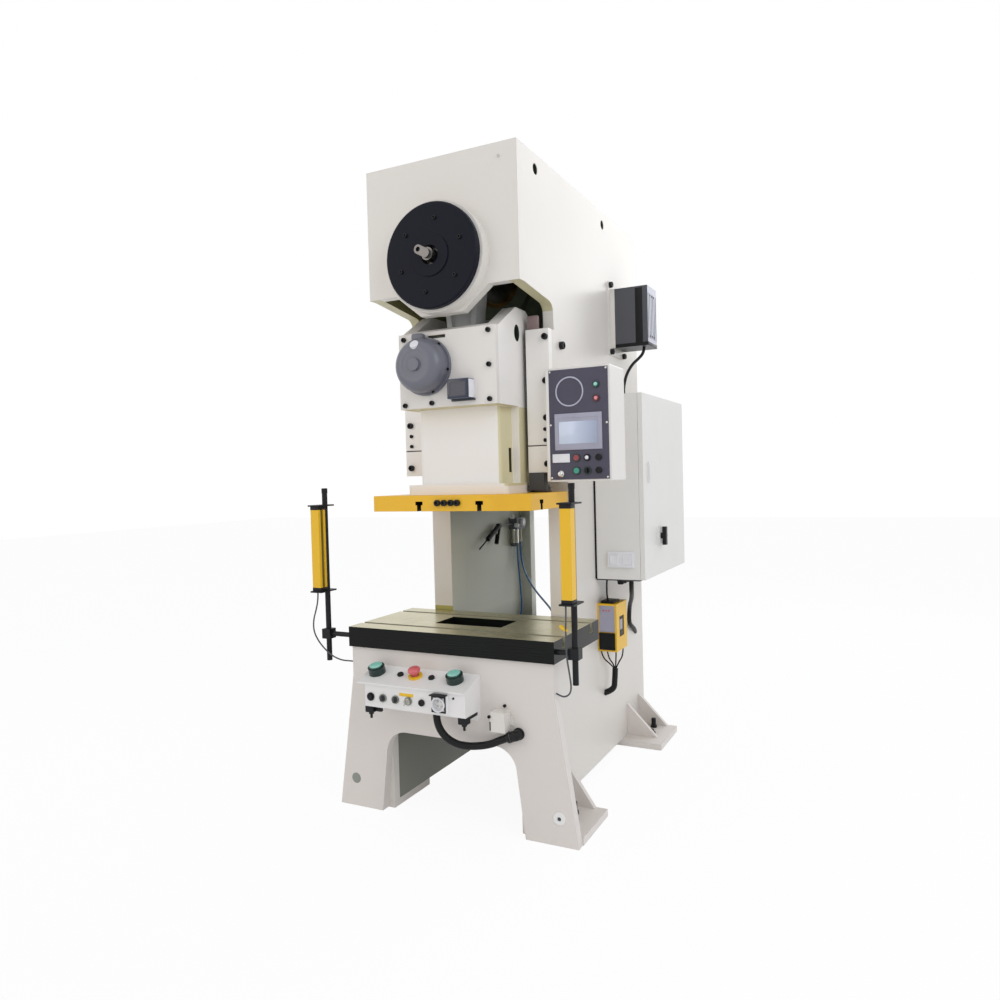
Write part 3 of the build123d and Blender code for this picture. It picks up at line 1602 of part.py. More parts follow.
# Emergency stop mushroom
with BuildPart() as emergency_stop:
    with BuildSketch(lid_face.offset(-stem_depth)):
        with Locations((stop_button_x, 0)):
            Circle(palm_stem_radius)
    extrude(amount=stem_depth + stop_stem_height)
    with BuildSketch(lid_face.offset(stop_stem_height)):
        with Locations((stop_button_x, 0)):
            Circle(stop_button_radius)
    extrude(amount=stop_button_height)
    mushroom_edges = emergency_stop.edges().filter_by(GeomType.CIRCLE)
    fillet(mushroom_edges.sort_by(Axis((0, 0, 0), slope_normal))[-1], stop_button_rounding)
save(emergency_stop, "emergency_stop")

# Push button, two selectors and key switch on the console front
save(push_button((push_button_x, row_z), console_front_y), "console_push_button")
save(selector((mode_selector_x, row_z), console_front_y), "mode_selector")
save(selector((stroke_selector_x, row_z), console_front_y), "stroke_selector")
with BuildPart() as key_switch:
    key_place = (key_switch_x, console_front_y + button_stem, row_z)
    bar(key_place, forward, button_radius, button_stem + knob_height)
    key_y = console_front_y - knob_height
    block(
        (key_switch_x - key_bow_thickness / 2, key_switch_x + key_bow_thickness / 2),
        (key_y - key_bow_reach, key_y),
        (row_z - key_bow_radius, row_z + key_bow_radius),
    )
save(key_switch, "key_switch")

# Terminal box with its lugs, and the elbow where the conduit enters the bed
with BuildPart() as junction_box:
    terminal_x = (terminal_left_x, terminal_left_x + terminal_width)
    terminal_z = (terminal_bottom_z, terminal_bottom_z + terminal_height)
    block(terminal_x, (front_y - terminal_depth, front_y), terminal_z)
    block(
        (terminal_x[0] - terminal_lug, terminal_x[1] + terminal_lug),
        (front_y - terminal_lug_thickness, front_y),
        (terminal_z[0] + terminal_lug_inset, terminal_z[1] - terminal_lug_inset),
    )
    elbow_place = Vector(elbow_x, front_y - elbow_reach, elbow_z)
    elbow_way = Vector(*conduit_way_in[-1]).normalized()
    bar(elbow_place, along_y, elbow_radius, elbow_reach)
    with Locations(elbow_place):
        Sphere(elbow_radius)
    with BuildSketch(Plane(origin=elbow_place, z_dir=elbow_way)):
        Circle(elbow_radius)
    extrude(amount=elbow_stub)
save(junction_box, "junction_box")

# Posts of the light curtain, each on an arm from the end of the bolster
post_y = front_y + post_setback
curtain_y = post_y - curtain_offset
curtain_top_z = curtain_bottom_z + curtain_length
with BuildPart() as curtain_posts:
    for post_x, hand in ((left_post_x, -1), (right_post_x, 1)):
        bar((post_x, post_y, post_bottom_z), upward, post_radius, post_top_z - post_bottom_z)
        arm_length = abs(post_x) - half_bolster
        bar((hand * half_bolster, post_y, arm_z), (0, hand * quarter_turn, 0), arm_radius, arm_length)
        half_clamp = clamp_size / 2
        block(
            (post_x - half_clamp, post_x + half_clamp),
            (post_y - half_clamp, post_y + half_clamp),
            (arm_z - half_clamp, arm_z + half_clamp),
        )
        for plate_z in (curtain_bottom_z - curtain_plate, curtain_top_z):
            half_plate = curtain_plate_width / 2
            block(
                (post_x - half_plate, post_x + half_plate),
                (curtain_y - half_plate, post_y + curtain_plate_reach),
                (plate_z, plate_z + curtain_plate),
            )
save(curtain_posts, "curtain_posts")

# Emitter and receiver bars of the light curtain
with BuildPart() as light_curtains:
    for post_x, hand in ((left_post_x, 1), (right_post_x, -1)):
        half_curtain = curtain_width / 2
        curtain_limits_y = (curtain_y - curtain_depth / 2, curtain_y + curtain_depth / 2)
        curtain_limits_z = (curtain_bottom_z, curtain_top_z)
        block((post_x - half_curtain, post_x + half_curtain), curtain_limits_y, curtain_limits_z)
        window_x = post_x + hand * half_curtain
        block(
            (window_x - hand * curtain_window_depth, window_x + hand * overrun),
            (curtain_y - curtain_window_width / 2, curtain_y + curtain_window_width / 2),
            (curtain_bottom_z + curtain_end, curtain_top_z - curtain_end),
            Mode.SUBTRACT,
        )
save(light_curtains, "light_curtains")

# Controller of the light curtain on the right side plate
with BuildPart() as curtain_controller:
    controller_y = front_y + controller_setback
    controller_x = (half_width, half_width + controller_width)
    controller_z = (controller_bottom_z, controller_bottom_z + controller_height)
    block(controller_x, (controller_y, controller_y + controller_length), controller_z)
    block(
        (controller_x[0] + controller_face_margin, controller_x[1] - controller_face_margin),
        (controller_y - overrun, controller_y + controller_face_depth),
        (controller_z[0] + controller_face_margin, controller_z[1] - controller_face_margin),
        Mode.SUBTRACT,
    )
    window_y = controller_y + controller_length / 2
    window_z = controller_bottom_z + controller_height / 2
    block(
        (controller_x[1] - controller_face_depth, controller_x[1] + overrun),
        (window_y - controller_window_length / 2, window_y + controller_window_length / 2),
        (window_z - controller_window_height / 2, window_z + controller_window_height / 2),
        Mode.SUBTRACT,
    )
save(curtain_controller, "curtain_controller")

# Air station on the inside of the left side plate: block, filter bowl, outlets and hook
air_y = front_y + air_setback
air_x = (-inner_x, -inner_x + air_block_depth)
air_mid_x = sum(air_x) / 2
air_top_z = air_block_z + air_block_height
with BuildPart() as air_station:
    block(air_x, (air_y, air_y + air_block_length), (air_block_z, air_top_z))
    bowl_y = air_y + air_bowl_radius
    bar((air_mid_x, bowl_y, air_block_z), downward, air_bowl_radius, air_bowl_height)
    for outlet in (air_down_offset, air_across_offset):
        bar((air_mid_x, air_y + outlet, air_block_z), downward, air_outlet_radius, air_outlet_length)
    hook_z = air_block_z + air_block_height / 2
    bar((air_mid_x, air_y, hook_z), forward, air_hook_radius, air_hook_reach)
save(air_station, "air_station")

# Blow gun on the end of the hook: socket, drooping barrel with a thin nozzle, and grip
with BuildPart() as blow_gun:
    gun_y = air_y - air_hook_reach
    bar((air_mid_x, gun_y, hook_z), forward, gun_body_radius, gun_socket_length)
    barrel_place = Vector(air_mid_x, gun_y - gun_socket_length + gun_body_radius, hook_z)
    barrel_turn = (quarter_turn + gun_droop, 0, 0)
    bar(barrel_place, barrel_turn, gun_body_radius, gun_barrel_length)
    bar(barrel_place, barrel_turn, gun_nozzle_radius, gun_barrel_length + gun_nozzle_length)
    bar(barrel_place, (half_turn - gun_grip_tilt, 0, 0), gun_grip_radius, gun_grip_length)
save(blow_gun, "blow_gun")


# Cords: straight runs joined by arcs as large as the runs allow
def cord(name, start, way_out, way_in, end, diameter):
    points = [Vector(*start)]
    points += [Vector(*start) + Vector(*step) for step in way_out]
    points += [Vector(*end) + Vector(*step) for step in way_in]
    points.append(Vector(*end))
    runs = [after - before for before, after in zip(points, points[1:])]
    radii = []
    for before, after in zip(runs, runs[1:]):
        half_bend = radians(before.get_angle(after)) / 2
        radii.append(bend_share * min(before.length, after.length) / tan(half_bend))
    with BuildPart() as tube:
        with BuildLine() as path:
            FilletPolyline(*points, radius=radii)
        with BuildSketch(Plane(origin=path.line @ 0, z_dir=path.line % 0)):
            Circle(diameter / 2)
        sweep()
    length = sum(edge.length for edge in path.edges())
    volume_share = tube.part.volume / (pi * diameter**2 / 4 * length)
    print(name, "length", round(length), "radii", [round(r) for r in radii])
    print("  points", [tuple(round(c, 1) for c in p) for p in points], round(volume_share, 3))
    save(tube, name)


conduit_end = elbow_place + elbow_way * elbow_stub
cord(
    "console_conduit",
    (conduit_x, front_y - conduit_inset, console_bottom_z),
    conduit_way_out,
    conduit_way_in,
    tuple(conduit_end),
    conduit_diameter,
)
drive_cable_x = drive_limits_x[1] - drive_cable_inset_x
drive_cable_y = drive_y + drive_cable_inset_y
drive_cable_way = [
    (step[0], step[1], -share * drive_cable_fall)
    for step, share in zip(drive_cable_steps, drive_cable_fall_shares)
]
cord(
    "drive_box_cable",
    (drive_cable_x, drive_cable_y, drive_box_bottom_z),
    drive_cable_way,
    (),
    (drive_cable_x + drive_cable_end_step[0], drive_cable_y + drive_cable_end_step[1], cabinet_top_z),
    drive_cable_diameter,
)
for side_name, post_x, hand in (("left", left_post_x, -1), ("right", right_post_x, 1)):
    cord(
        "curtain_cable_" + side_name,
        (post_x + curtain_cable_shift, curtain_y, curtain_bottom_z - curtain_plate),
        curtain_ways_out[side_name],
        curtain_ways_in[side_name],
        (hand * bed_half_width, front_y + bed_plate_thickness / 2, curtain_cable_ends_z[side_name]),
        curtain_cable_diameter,
    )
outlet_z = air_block_z - air_outlet_length
cord(
    "air_tube_down",
    (air_mid_x, air_y + air_down_offset, outlet_z),
    air_down_way_out,
    air_down_way_in,
    (-inner_x, air_y + air_down_end, air_down_end_z),
    air_tube_diameter,
)
across_start = Vector(air_mid_x, air_y + air_across_offset, outlet_z)
across_end = Vector(column_inner_x, throat_y + air_across_end, air_across_end_z)
across_span = across_end - across_start
across_way = [(a * across_span.X, b * across_span.Y, c * across_span.Z) for a, b, c in air_across_shares]
cord("air_tube_across", tuple(across_start), across_way, (), tuple(across_end), air_tube_diameter)
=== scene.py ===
import bpy
import math
from mathutils import Matrix, Vector


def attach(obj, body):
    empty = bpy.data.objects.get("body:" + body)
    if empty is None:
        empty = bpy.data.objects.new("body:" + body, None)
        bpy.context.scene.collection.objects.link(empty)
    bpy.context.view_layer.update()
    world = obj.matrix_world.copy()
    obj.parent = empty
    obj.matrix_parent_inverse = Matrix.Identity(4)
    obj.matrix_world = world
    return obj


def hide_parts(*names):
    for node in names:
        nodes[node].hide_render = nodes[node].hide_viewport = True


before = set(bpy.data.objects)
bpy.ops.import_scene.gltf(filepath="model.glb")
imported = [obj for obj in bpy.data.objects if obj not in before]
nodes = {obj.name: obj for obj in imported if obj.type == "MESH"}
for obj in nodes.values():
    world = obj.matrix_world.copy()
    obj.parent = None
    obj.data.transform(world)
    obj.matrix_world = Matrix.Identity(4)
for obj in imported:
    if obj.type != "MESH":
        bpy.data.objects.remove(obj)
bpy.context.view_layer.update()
frontY = -0.7025  # front face of the bed, where the depths are counted from
toFront, toRight, toTop, toFloor = (0, -1, 0), (1, 0, 0), (0, 0, 1), (0, 0, -1)
print("stage: frame loaded,", len(nodes), "nodes")


def srgb(text, alpha=1.0):
    parts = [int(text[i:i + 2], 16) / 255 for i in (1, 3, 5)]
    return [*[c / 12.92 if c <= 0.04045 else ((c + 0.055) / 1.055) ** 2.4 for c in parts], alpha]


def addNode(tree, kind, inputs=None, stops=None, **settings):
    node = tree.nodes.new("ShaderNode" + kind)
    for key, value in settings.items():
        setattr(node, key, value)
    for place, color in stops or []:
        ramp = node.color_ramp.elements
        stop = ramp[0] if place == 0 else ramp[-1] if place == 1 else ramp.new(place)
        stop.color = color
    for key, value in (inputs or {}).items():
        if isinstance(value, bpy.types.Node):
            value = value.outputs[0]  # a node stands for its first output
        if isinstance(value, bpy.types.NodeSocket):
            tree.links.new(value, node.inputs[key])
        else:
            node.inputs[key].default_value = value
    return node


def newFinish(name):
    material = bpy.data.materials.new(name)
    material.use_nodes = True
    tree = material.node_tree
    tree.nodes.clear()
    place = addNode(tree, "TexCoord").outputs["Object"]
    return material, tree, place


def closeFinish(tree, shader):
    addNode(tree, "OutputMaterial", {"Surface": shader})


def perMm(size):
    return 1000 / size  # pattern scale from a size in millimetres


# Where a surface lies and faces: one when every test of place or normal holds
def inZone(tree, place, tests):
    spot = addNode(tree, "SeparateXYZ", {"Vector": place}).outputs
    normal = addNode(tree, "NewGeometry").outputs["True Normal"]
    facing = addNode(tree, "SeparateXYZ", {"Vector": normal}).outputs
    sources = {"x": spot["X"], "y": spot["Y"], "z": spot["Z"],
               "faceX": facing["X"], "faceY": facing["Y"], "faceZ": facing["Z"],
               "wide": addNode(tree, "Math", {0: spot["X"]}, operation="ABSOLUTE")}
    signs = {"<": "LESS_THAN", ">": "GREATER_THAN"}
    share = None
    for source, sign, limit in tests:
        test = addNode(tree, "Math", {0: sources[source], 1: limit}, operation=signs[sign])
        share = test if share is None else addNode(tree, "Math", {0: share, 1: test}, operation="MULTIPLY")
    return share, spot["Z"]


# A zone of one flat colour
def patch(color, *tests):
    return dict(stops=[(0, color), (1, color)], tests=tests)


# Two-pack enamel sprayed on steel plate: soft gloss, faint orange peel, slow shifts of tone
def enamel(name, light, dark, rough=0.34, peelMm=7, edgeMm=2.5, shine=0.5, zones=()):
    material, tree, place = newFinish(name)
    drift = addNode(tree, "TexNoise", {"Vector": place, "Scale": perMm(420), "Detail": 4.0})
    tone = addNode(tree, "ValToRGB", {"Fac": drift}, [(0, srgb(dark)), (0.42, srgb(light)), (1, srgb(light))])
    for zone in zones:
        share, height = inZone(tree, place, zone["tests"])
        rise = addNode(tree, "MapRange", {"Value": height, "From Max": zone.get("top", 1.0)})
        stain = addNode(tree, "ValToRGB", {"Fac": rise}, [(level, srgb(color)) for level, color in zone["stops"]])
        tone = addNode(tree, "MixRGB", {"Fac": share, "Color1": tone, "Color2": stain})
    peel = addNode(tree, "TexNoise", {"Vector": place, "Scale": perMm(peelMm), "Detail": 2.0})
    edge = addNode(tree, "Bevel", {"Radius": edgeMm / 1000}, samples=4)
    skin = addNode(tree, "Bump", {"Height": peel, "Strength": 0.05, "Distance": 0.0006, "Normal": edge})
    gloss = addNode(tree, "MapRange", {"Value": drift, "To Min": rough - 0.05, "To Max": rough + 0.07})
    closeFinish(tree, addNode(tree, "BsdfPrincipled", {
        "Base Color": tone, "Roughness": gloss, "IOR": 1.5, "Specular IOR Level": shine, "Normal": skin}))
    return material


# Ground or turned steel: long fine scratches along one way, a thin film of oil in patches
def groundSteel(name, light, dark, rough=0.36, stretch=(1, 60, 60)):
    material, tree, place = newFinish(name)
    grain = addNode(tree, "Mapping", {"Vector": place, "Scale": stretch})
    lines = addNode(tree, "TexNoise", {"Vector": grain, "Scale": perMm(180), "Detail": 5.0})
    film = addNode(tree, "TexNoise", {"Vector": place, "Scale": perMm(160), "Detail": 4.0})
    tone = addNode(tree, "ValToRGB", {"Fac": film}, [(0, srgb(dark)), (0.5, srgb(light)), (1, srgb(light))])
    gloss = addNode(tree, "MapRange", {"Value": lines, "To Min": rough - 0.12, "To Max": rough + 0.14})
    skin = addNode(tree, "Bump", {"Height": lines, "Strength": 0.08, "Distance": 0.0004})
    closeFinish(tree, addNode(tree, "BsdfPrincipled", {
        "Base Color": tone, "Metallic": 1.0, "Roughness": gloss, "Normal": skin}))
    return material


# Moulded plastic: even colour, fine spark grain that breaks the gloss
def moulded(name, color, rough=0.4, grainMm=1.6, coat=0.0, shine=0.5):
    material, tree, place = newFinish(name)
    grain = addNode(tree, "TexNoise", {"Vector": place, "Scale": perMm(grainMm), "Detail": 2.0})
    drift = addNode(tree, "TexNoise", {"Vector": place, "Scale": perMm(60), "Detail": 2.0})
    base = srgb(color)
    deep = [c * 0.86 for c in base[:3]] + [1]
    tone = addNode(tree, "ValToRGB", {"Fac": drift}, [(0, deep), (0.55, base), (1, base)])
    skin = addNode(tree, "Bump", {"Height": grain, "Strength": 0.06, "Distance": 0.0003})
    closeFinish(tree, addNode(tree, "BsdfPrincipled", {
        "Base Color": tone, "Roughness": rough, "IOR": 1.49, "Coat Weight": coat, "Specular IOR Level": shine,
        "Normal": skin}))
    return material


# Bolster: blackened sides, and a ground top with a tan film of oil, its yellow tint a painted reflection of the yellow
# slide plate
def bolsterFinish(look):
    material, tree, place = newFinish("bolster")
    top, _ = inZone(tree, place, [("z", ">", look["topZ"] - 0.001), ("faceZ", ">", 0.5)])
    grain = addNode(tree, "Mapping", {"Vector": place, "Scale": (2, 90, 90)})
    lines = addNode(tree, "TexNoise", {"Vector": grain, "Scale": perMm(220), "Detail": 5.0})
    film = addNode(tree, "TexNoise", {"Vector": place, "Scale": perMm(190), "Detail": 5.0, "Distortion": 0.6})
    oil = addNode(tree, "ValToRGB", {"Fac": film},
                  [(0, srgb(look["oilDark"])), (0.45, srgb(look["oil"])), (1, srgb(look["steel"]))])
    wall = addNode(tree, "ValToRGB", {"Fac": film}, [(0, srgb(look["sideDark"])), (1, srgb(look["side"]))])
    for row in look["slotRows"]:
        share, _ = inZone(tree, place, [("y", ">", row - look["slotHalf"]), ("y", "<", row + look["slotHalf"]),
                                        ("wide", "<", look["slotEnd"])])
        wall = addNode(tree, "MixRGB", {"Fac": share, "Color1": wall, "Color2": srgb(look["slot"])})
    tone = addNode(tree, "MixRGB", {"Fac": top, "Color1": wall, "Color2": oil})
    gloss = addNode(tree, "MapRange", {"Value": lines, "To Min": 0.18, "To Max": 0.4})
    skin = addNode(tree, "Bump", {"Height": lines, "Strength": 0.06, "Distance": 0.0004})
    metal = addNode(tree, "Math", {0: top, 1: 0.85}, operation="MULTIPLY")
    closeFinish(tree, addNode(tree, "BsdfPrincipled", {
        "Base Color": tone, "Metallic": metal, "Roughness": gloss, "Specular IOR Level": 0.16, "Normal": skin}))
    return material


# Slide plate: yellow enamel, with the bare steel inside the tee slots painted near-black as shade
def slidePlateFinish(look):
    material, tree, place = newFinish("yellow")
    drift = addNode(tree, "TexNoise", {"Vector": place, "Scale": perMm(260), "Detail": 4.0})
    tone = addNode(tree, "ValToRGB", {"Fac": drift},
                   [(0, srgb(look["dark"])), (0.42, srgb(look["light"])), (1, srgb(look["light"]))])
    for axis, middle in (("wide", look["slotX"]), ("y", look["crossY"])):
        for half, bottom in ((look["teeHalf"], look["neckTop"]), (look["neckHalf"], 0)):
            share, _ = inZone(tree, place, [(axis, ">", middle - half), (axis, "<", middle + half),
                                            ("z", ">", bottom), ("z", "<", look["teeTop"])])
            tone = addNode(tree, "MixRGB", {"Fac": share, "Color1": tone, "Color2": srgb(look["slot"])})
    peel = addNode(tree, "TexNoise", {"Vector": place, "Scale": perMm(5), "Detail": 2.0})
    edge = addNode(tree, "Bevel", {"Radius": 0.002}, samples=4)
    skin = addNode(tree, "Bump", {"Height": peel, "Strength": 0.05, "Distance": 0.0006, "Normal": edge})
    closeFinish(tree, addNode(tree, "BsdfPrincipled", {
        "Base Color": tone, "Roughness": 0.34, "IOR": 1.5, "Normal": skin}))
    return material


# Inverter case: dark moulded front, paler heat sink towards the right
def inverterFinish(look):
    material, tree, place = newFinish("inverter")
    right, _ = inZone(tree, place, [("faceX", ">", 0.5)])
    grain = addNode(tree, "TexNoise", {"Vector": place, "Scale": perMm(3), "Detail": 2.0})
    tone = addNode(tree, "MixRGB", {"Fac": right, "Color1": srgb(look["front"]), "Color2": srgb(look["side"])})
    skin = addNode(tree, "Bump", {"Height": grain, "Strength": 0.05, "Distance": 0.0003})
    closeFinish(tree, addNode(tree, "BsdfPrincipled", {"Base Color": tone, "Roughness": 0.42, "Normal": skin}))
    return material


# Touch screen: glass over a pale picture that fades towards the right
def screenFinish(look):
    material, tree, place = newFinish("screen")
    split = addNode(tree, "SeparateXYZ", {"Vector": place})
    across = addNode(tree, "MapRange", {"Value": split, "From Min": look["left"], "From Max": look["right"]})
    tone = addNode(tree, "ValToRGB", {"Fac": across},
                   [(0, srgb(look["pale"])), (0.35, srgb(look["pale"])), (1, srgb(look["deep"]))])
    closeFinish(tree, addNode(tree, "BsdfPrincipled", {
        "Base Color": tone, "Roughness": 0.12, "IOR": 1.52, "Coat Weight": 0.4}))
    return material


# Painted shade on the inside faces of the frame: dark in the arch and the crown, paler in the throat
insideShade = dict(top=2.5, stops=[(0, "#6C6F60"), (0.2, "#5A5D4D"), (0.27, "#E4E6DA"), (0.42, "#DCDED2"),
                                   (0.5, "#8F9283"), (0.6, "#6C6E56"), (0.78, "#908C5E"), (1, "#6B6A48")])
insideTests = [("wide", "<", 0.2855), ("faceZ", "<", 0.5), ("y", ">", -0.626)]
# Downward faces: painted shade, tinted yellow by light off the slide plate
undersideShade = ("faceZ", "<", -0.5)
zones = {
    "frameCream": [
        dict(insideShade, tests=insideTests + [("faceY", ">", -0.5)]),
        dict(insideShade, tests=insideTests + [("y", ">", 0.1)]),
        # Downward faces of the crown side plates: painted yellowish shade
        patch("#C6C09A", ("faceZ", "<", -0.25), ("z", ">", 1.85), ("wide", ">", 0.2845)),
        # Strip at the foot of the left column, level with the bolster top: painted yellow reflection
        patch("#ADA558", ("x", "<", -0.2), ("faceY", "<", -0.5), ("y", ">", -0.3), ("y", "<", 0.1),
              ("z", ">", 0.7), ("z", "<", 0.756))],
    # Undersides of the slide cover: painted yellow-tinted shade
    "coverCream": [patch("#CBBE8C", undersideShade)],
    "slideCream": [
        # Right side of the lower slide: painted yellowish reflected light
        patch("#D9D1A9", ("faceX", ">", 0.5), ("z", "<", 1.6), ("z", ">", 1.292)),
        # Undersides of the slide body: painted yellow-tinted shade
        patch("#CBBE8C", undersideShade),
        patch("#6E6668", ("wide", ">", 0.2155), ("y", ">", -0.380)),
        # Knockout slot in the slide body: painted shade
        patch("#57523F", ("y", ">", -0.4868), ("y", "<", -0.4642), ("z", ">", 1.3448), ("z", "<", 1.4402))],
    # Inner faces of the gibs: bare oiled steel, painted near-black as the shade in the gap beside the slide
    "gibCreamLit": [patch("#3E3B34", ("wide", "<", 0.2325))],
}
# Light and dark tone, then where they differ from the usual: roughness, peel and edge in mm, shine
enamels = {
    "cream": ("#E0DBD3", "#D9D3CA"), "frameCream": ("#E0DBD3", "#D9D3CA"), "bedCream": ("#DFD8D1", "#D8D0C8"),
    "cabinetCream": ("#E6E4DF", "#DFDCD5", 0.4, 3.0, 1.2), "coverCream": ("#E4DFD8", "#DCD6CD", 0.32),
    "slideCream": ("#F1EDE7", "#EAE5DD", 0.32), "panelCream": ("#E6E2DC", "#DED9D1"),
    # Gib cream made paler than the frame as painted light, to make up for the shade in the recess
    "gibCreamLit": ("#F3EFE9", "#ECE7DF"),
    # The dark green-black finish below is painted shade for the insides of holes and slots
    "consoleWhite": ("#EBE9E6", "#E4E1DC", 0.36, 3, 1.5), "hollowShade": ("#2A3028", "#1E241D", 0.34, 6, 2, 0.3),
    "wallGreen": ("#6A715F", "#555C4C", 0.34, 6, 2, 0.3), "rodGrey": ("#CFD0CE", "#B4B5B1", 0.35, 5, 2),
    "wiperFelt": ("#8F7C79", "#7A6865", 0.6, 1.5, 1, 0.2), "yellowCase": ("#EDBB1E", "#E0AB14", 0.36, 3, 2),
    "blackEnamel": ("#191B24", "#101219", 0.34, 4, 1.5, 0.08), "darkGrey": ("#3A3C40", "#2E3034", 0.45, 4, 1.5),
    "hammered": ("#6B6C76", "#575861", 0.3, 9, 2), "motorGrey": ("#7F868B", "#6B7277", 0.42, 5, 2),
    "castIron": ("#54585A", "#3F4345", 0.55, 2.2, 2), "plugGrey": ("#8C9087", "#797D74", 0.4, 3, 1),
    "blackSteel": ("#16171A", "#0D0E10", 0.4, 2, 1, 0.25),
}
# Light and dark tone, roughness, stretch of the scratches
steels = {
    "steel": ("#A9A7A3", "#7C7972", 0.32, (60, 2, 60)), "oiledSteel": ("#7D7A78", "#4E4B49", 0.4, (60, 2, 60)),
    "bronze": ("#7A6238", "#584423", 0.38, (60, 2, 60)), "satin": ("#8E9188", "#6A6D64", 0.3, (1, 1, 1)),
    "nickel": ("#C9C8C4", "#A5A39D", 0.2, (1, 1, 1)),
}
# Colour, roughness, grain in mm, clear coat, shine
plastics = {
    "blackPlastic": ("#151618", 0.42, 1.6, 0.0, 0.25), "greyPlastic": ("#5B5F66", 0.45),
    "darkFilm": ("#454353", 0.5, 2.4), "lilacFrame": ("#A6A5B5", 0.42), "ringLilac": ("#B9B9C9", 0.42),
    "counterGlass": ("#23283A", 0.2, 6, 0.3), "whitePlastic": ("#E9E9EC", 0.38), "ivory": ("#D9D4C4", 0.35),
    "mint": ("#93D8C8", 0.18, 8, 0.5), "deepGreen": ("#123A33", 0.3, 2, 0.2),
    "shroudGreen": ("#0F2C27", 0.3, 2, 0.2), "deepRed": ("#571A20", 0.3, 2, 0.2),
    "paleRed": ("#E58A8F", 0.25, 6, 0.3), "smoked": ("#6E5C16", 0.28, 4, 0.3),
    "signalGreen": ("#2C9A80", 0.22, 6, 0.4), "signalRed": ("#D5525C", 0.3, 6, 0.3),
    "buttonRed": ("#97353E", 0.25, 6, 0.4), "stopRed": ("#D9656A", 0.35, 6, 0.2), "collarYellow": ("#EFC12A", 0.4),
    "paleBlue": ("#34405C", 0.35), "rubber": ("#121214", 0.45, 1.2, 0.0, 0.25), "greyCable": ("#4A4C50", 0.45, 1.2),
    "blueTube": ("#2F72B4", 0.25, 6, 0.3),
}
finishes = {
    **{name: enamel(name, *look, zones=zones.get(name, ())) for name, look in enamels.items()},
    **{name: groundSteel(name, *look) for name, look in steels.items()},
    **{name: moulded(name, *look) for name, look in plastics.items()},
    # Near-black in the tee slots of the slide plate is painted shade
    "yellow": slidePlateFinish({"light": "#EDB71F", "dark": "#DDA512", "slot": "#1C1B17", "slotX": 0.134,
                                "crossY": frontY + 0.143, "neckHalf": 0.0094, "teeHalf": 0.0164,
                                "neckTop": 1.2237, "teeTop": 1.2384}),
    # The yellow in the bolster top's steel and oil tones is painted reflection of the slide plate
    "bolster": bolsterFinish({"topZ": 0.737, "steel": "#D5D1B6", "oil": "#C4BD98", "oilDark": "#A29A78",
                              "side": "#121613", "sideDark": "#0B0E0C", "slot": "#A29E88",
                              "slotRows": (-0.6175, -0.3315), "slotHalf": 0.0195, "slotEnd": 0.4495}),
    "inverter": inverterFinish({"front": "#4D4E53", "side": "#B7B9C6"}),
    "screen": screenFinish({"left": 0.3835, "right": 0.5305, "pale": "#CBD6EA", "deep": "#9FA8BE"}),
}

# What each node of the model is finished in
nodeFinish = {
    "cream": ["rear_guard", "tie_plates", "bed_top_plate", "junction_box", "drive_box_bracket"],
    "frameCream": ["side_plate_left", "side_plate_right", "crown_front_plate", "crown_top_plate"],
    "gibCreamLit": ["gibs"],
    "bedCream": ["bed_front_plate", "floor_feet"],
    "slideCream": ["slide_body"],
    "coverCream": ["slide_cover"],
    "panelCream": ["hmi_box"],
    "consoleWhite": ["console_box"],
    "wallGreen": ["bearing_wall"],
    "cabinetCream": ["cabinet_body", "cabinet_door"],
    "yellow": ["slide_plate"],
    "yellowCase": ["light_curtains", "curtain_controller"],
    "bolster": ["bolster_plate"],
    "blackEnamel": ["bearing_cap"],
    "hammered": ["adjust_motor"],
    "motorGrey": ["drive_motor"],
    "castIron": ["flywheel", "clutch_brake"],
    "oiledSteel": ["crankshaft"],
    "rodGrey": ["connecting_rod"],
    "steel": ["adjusting_screw", "motor_pulley"],
    "bronze": ["crank_bushes"],
    "blackSteel": ["curtain_posts"],
    "blackPlastic": ["disconnect_handle", "console_push_button", "hmi_selector", "blow_gun"],
    "shroudGreen": ["button_shrouds"],
    "greyPlastic": ["electrical_panel", "air_station"],
    "paleBlue": ["die_height_counter"],
    "darkFilm": ["hmi_panel"],
    "deepGreen": ["palm_button_left", "palm_button_right"],
    "signalGreen": ["hmi_start_button"],
    "buttonRed": ["hmi_stop_button"],
    "stopRed": ["emergency_stop"],
    "nickel": ["key_switch"],
    "darkGrey": ["knockout_stop", "mode_selector", "stroke_selector"],
    "rubber": ["v_belts"],
    "inverter": ["drive_box"],
}
for finish, names in nodeFinish.items():
    for name in names:
        nodes[name].data.materials.clear()
        nodes[name].data.materials.append(finishes[finish])
print("stage: finishes on", sum(len(names) for names in nodeFinish.values()), "nodes")


def clearSelection():
    if bpy.context.object and bpy.context.object.mode != "OBJECT":
        bpy.ops.object.mode_set(mode="OBJECT")
    bpy.ops.object.select_all(action="DESELECT")


def roundEdges(piece, width, segments=2):
    edge = piece.modifiers.new("edge", "BEVEL")
    edge.width, edge.segments = width, segments
    edge.limit_method, edge.angle_limit = "ANGLE", math.radians(30)
    bpy.ops.object.modifier_apply(modifier="edge")


def settle(piece, name, finish, body="frame"):
    piece.name = piece.data.name = name
    bpy.ops.object.transform_apply(location=True, rotation=True, scale=True)
    bpy.ops.object.shade_smooth_by_angle(angle=math.radians(35))
    piece.data.materials.clear()
    piece.data.materials.append(finishes[finish])
    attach(piece, body)


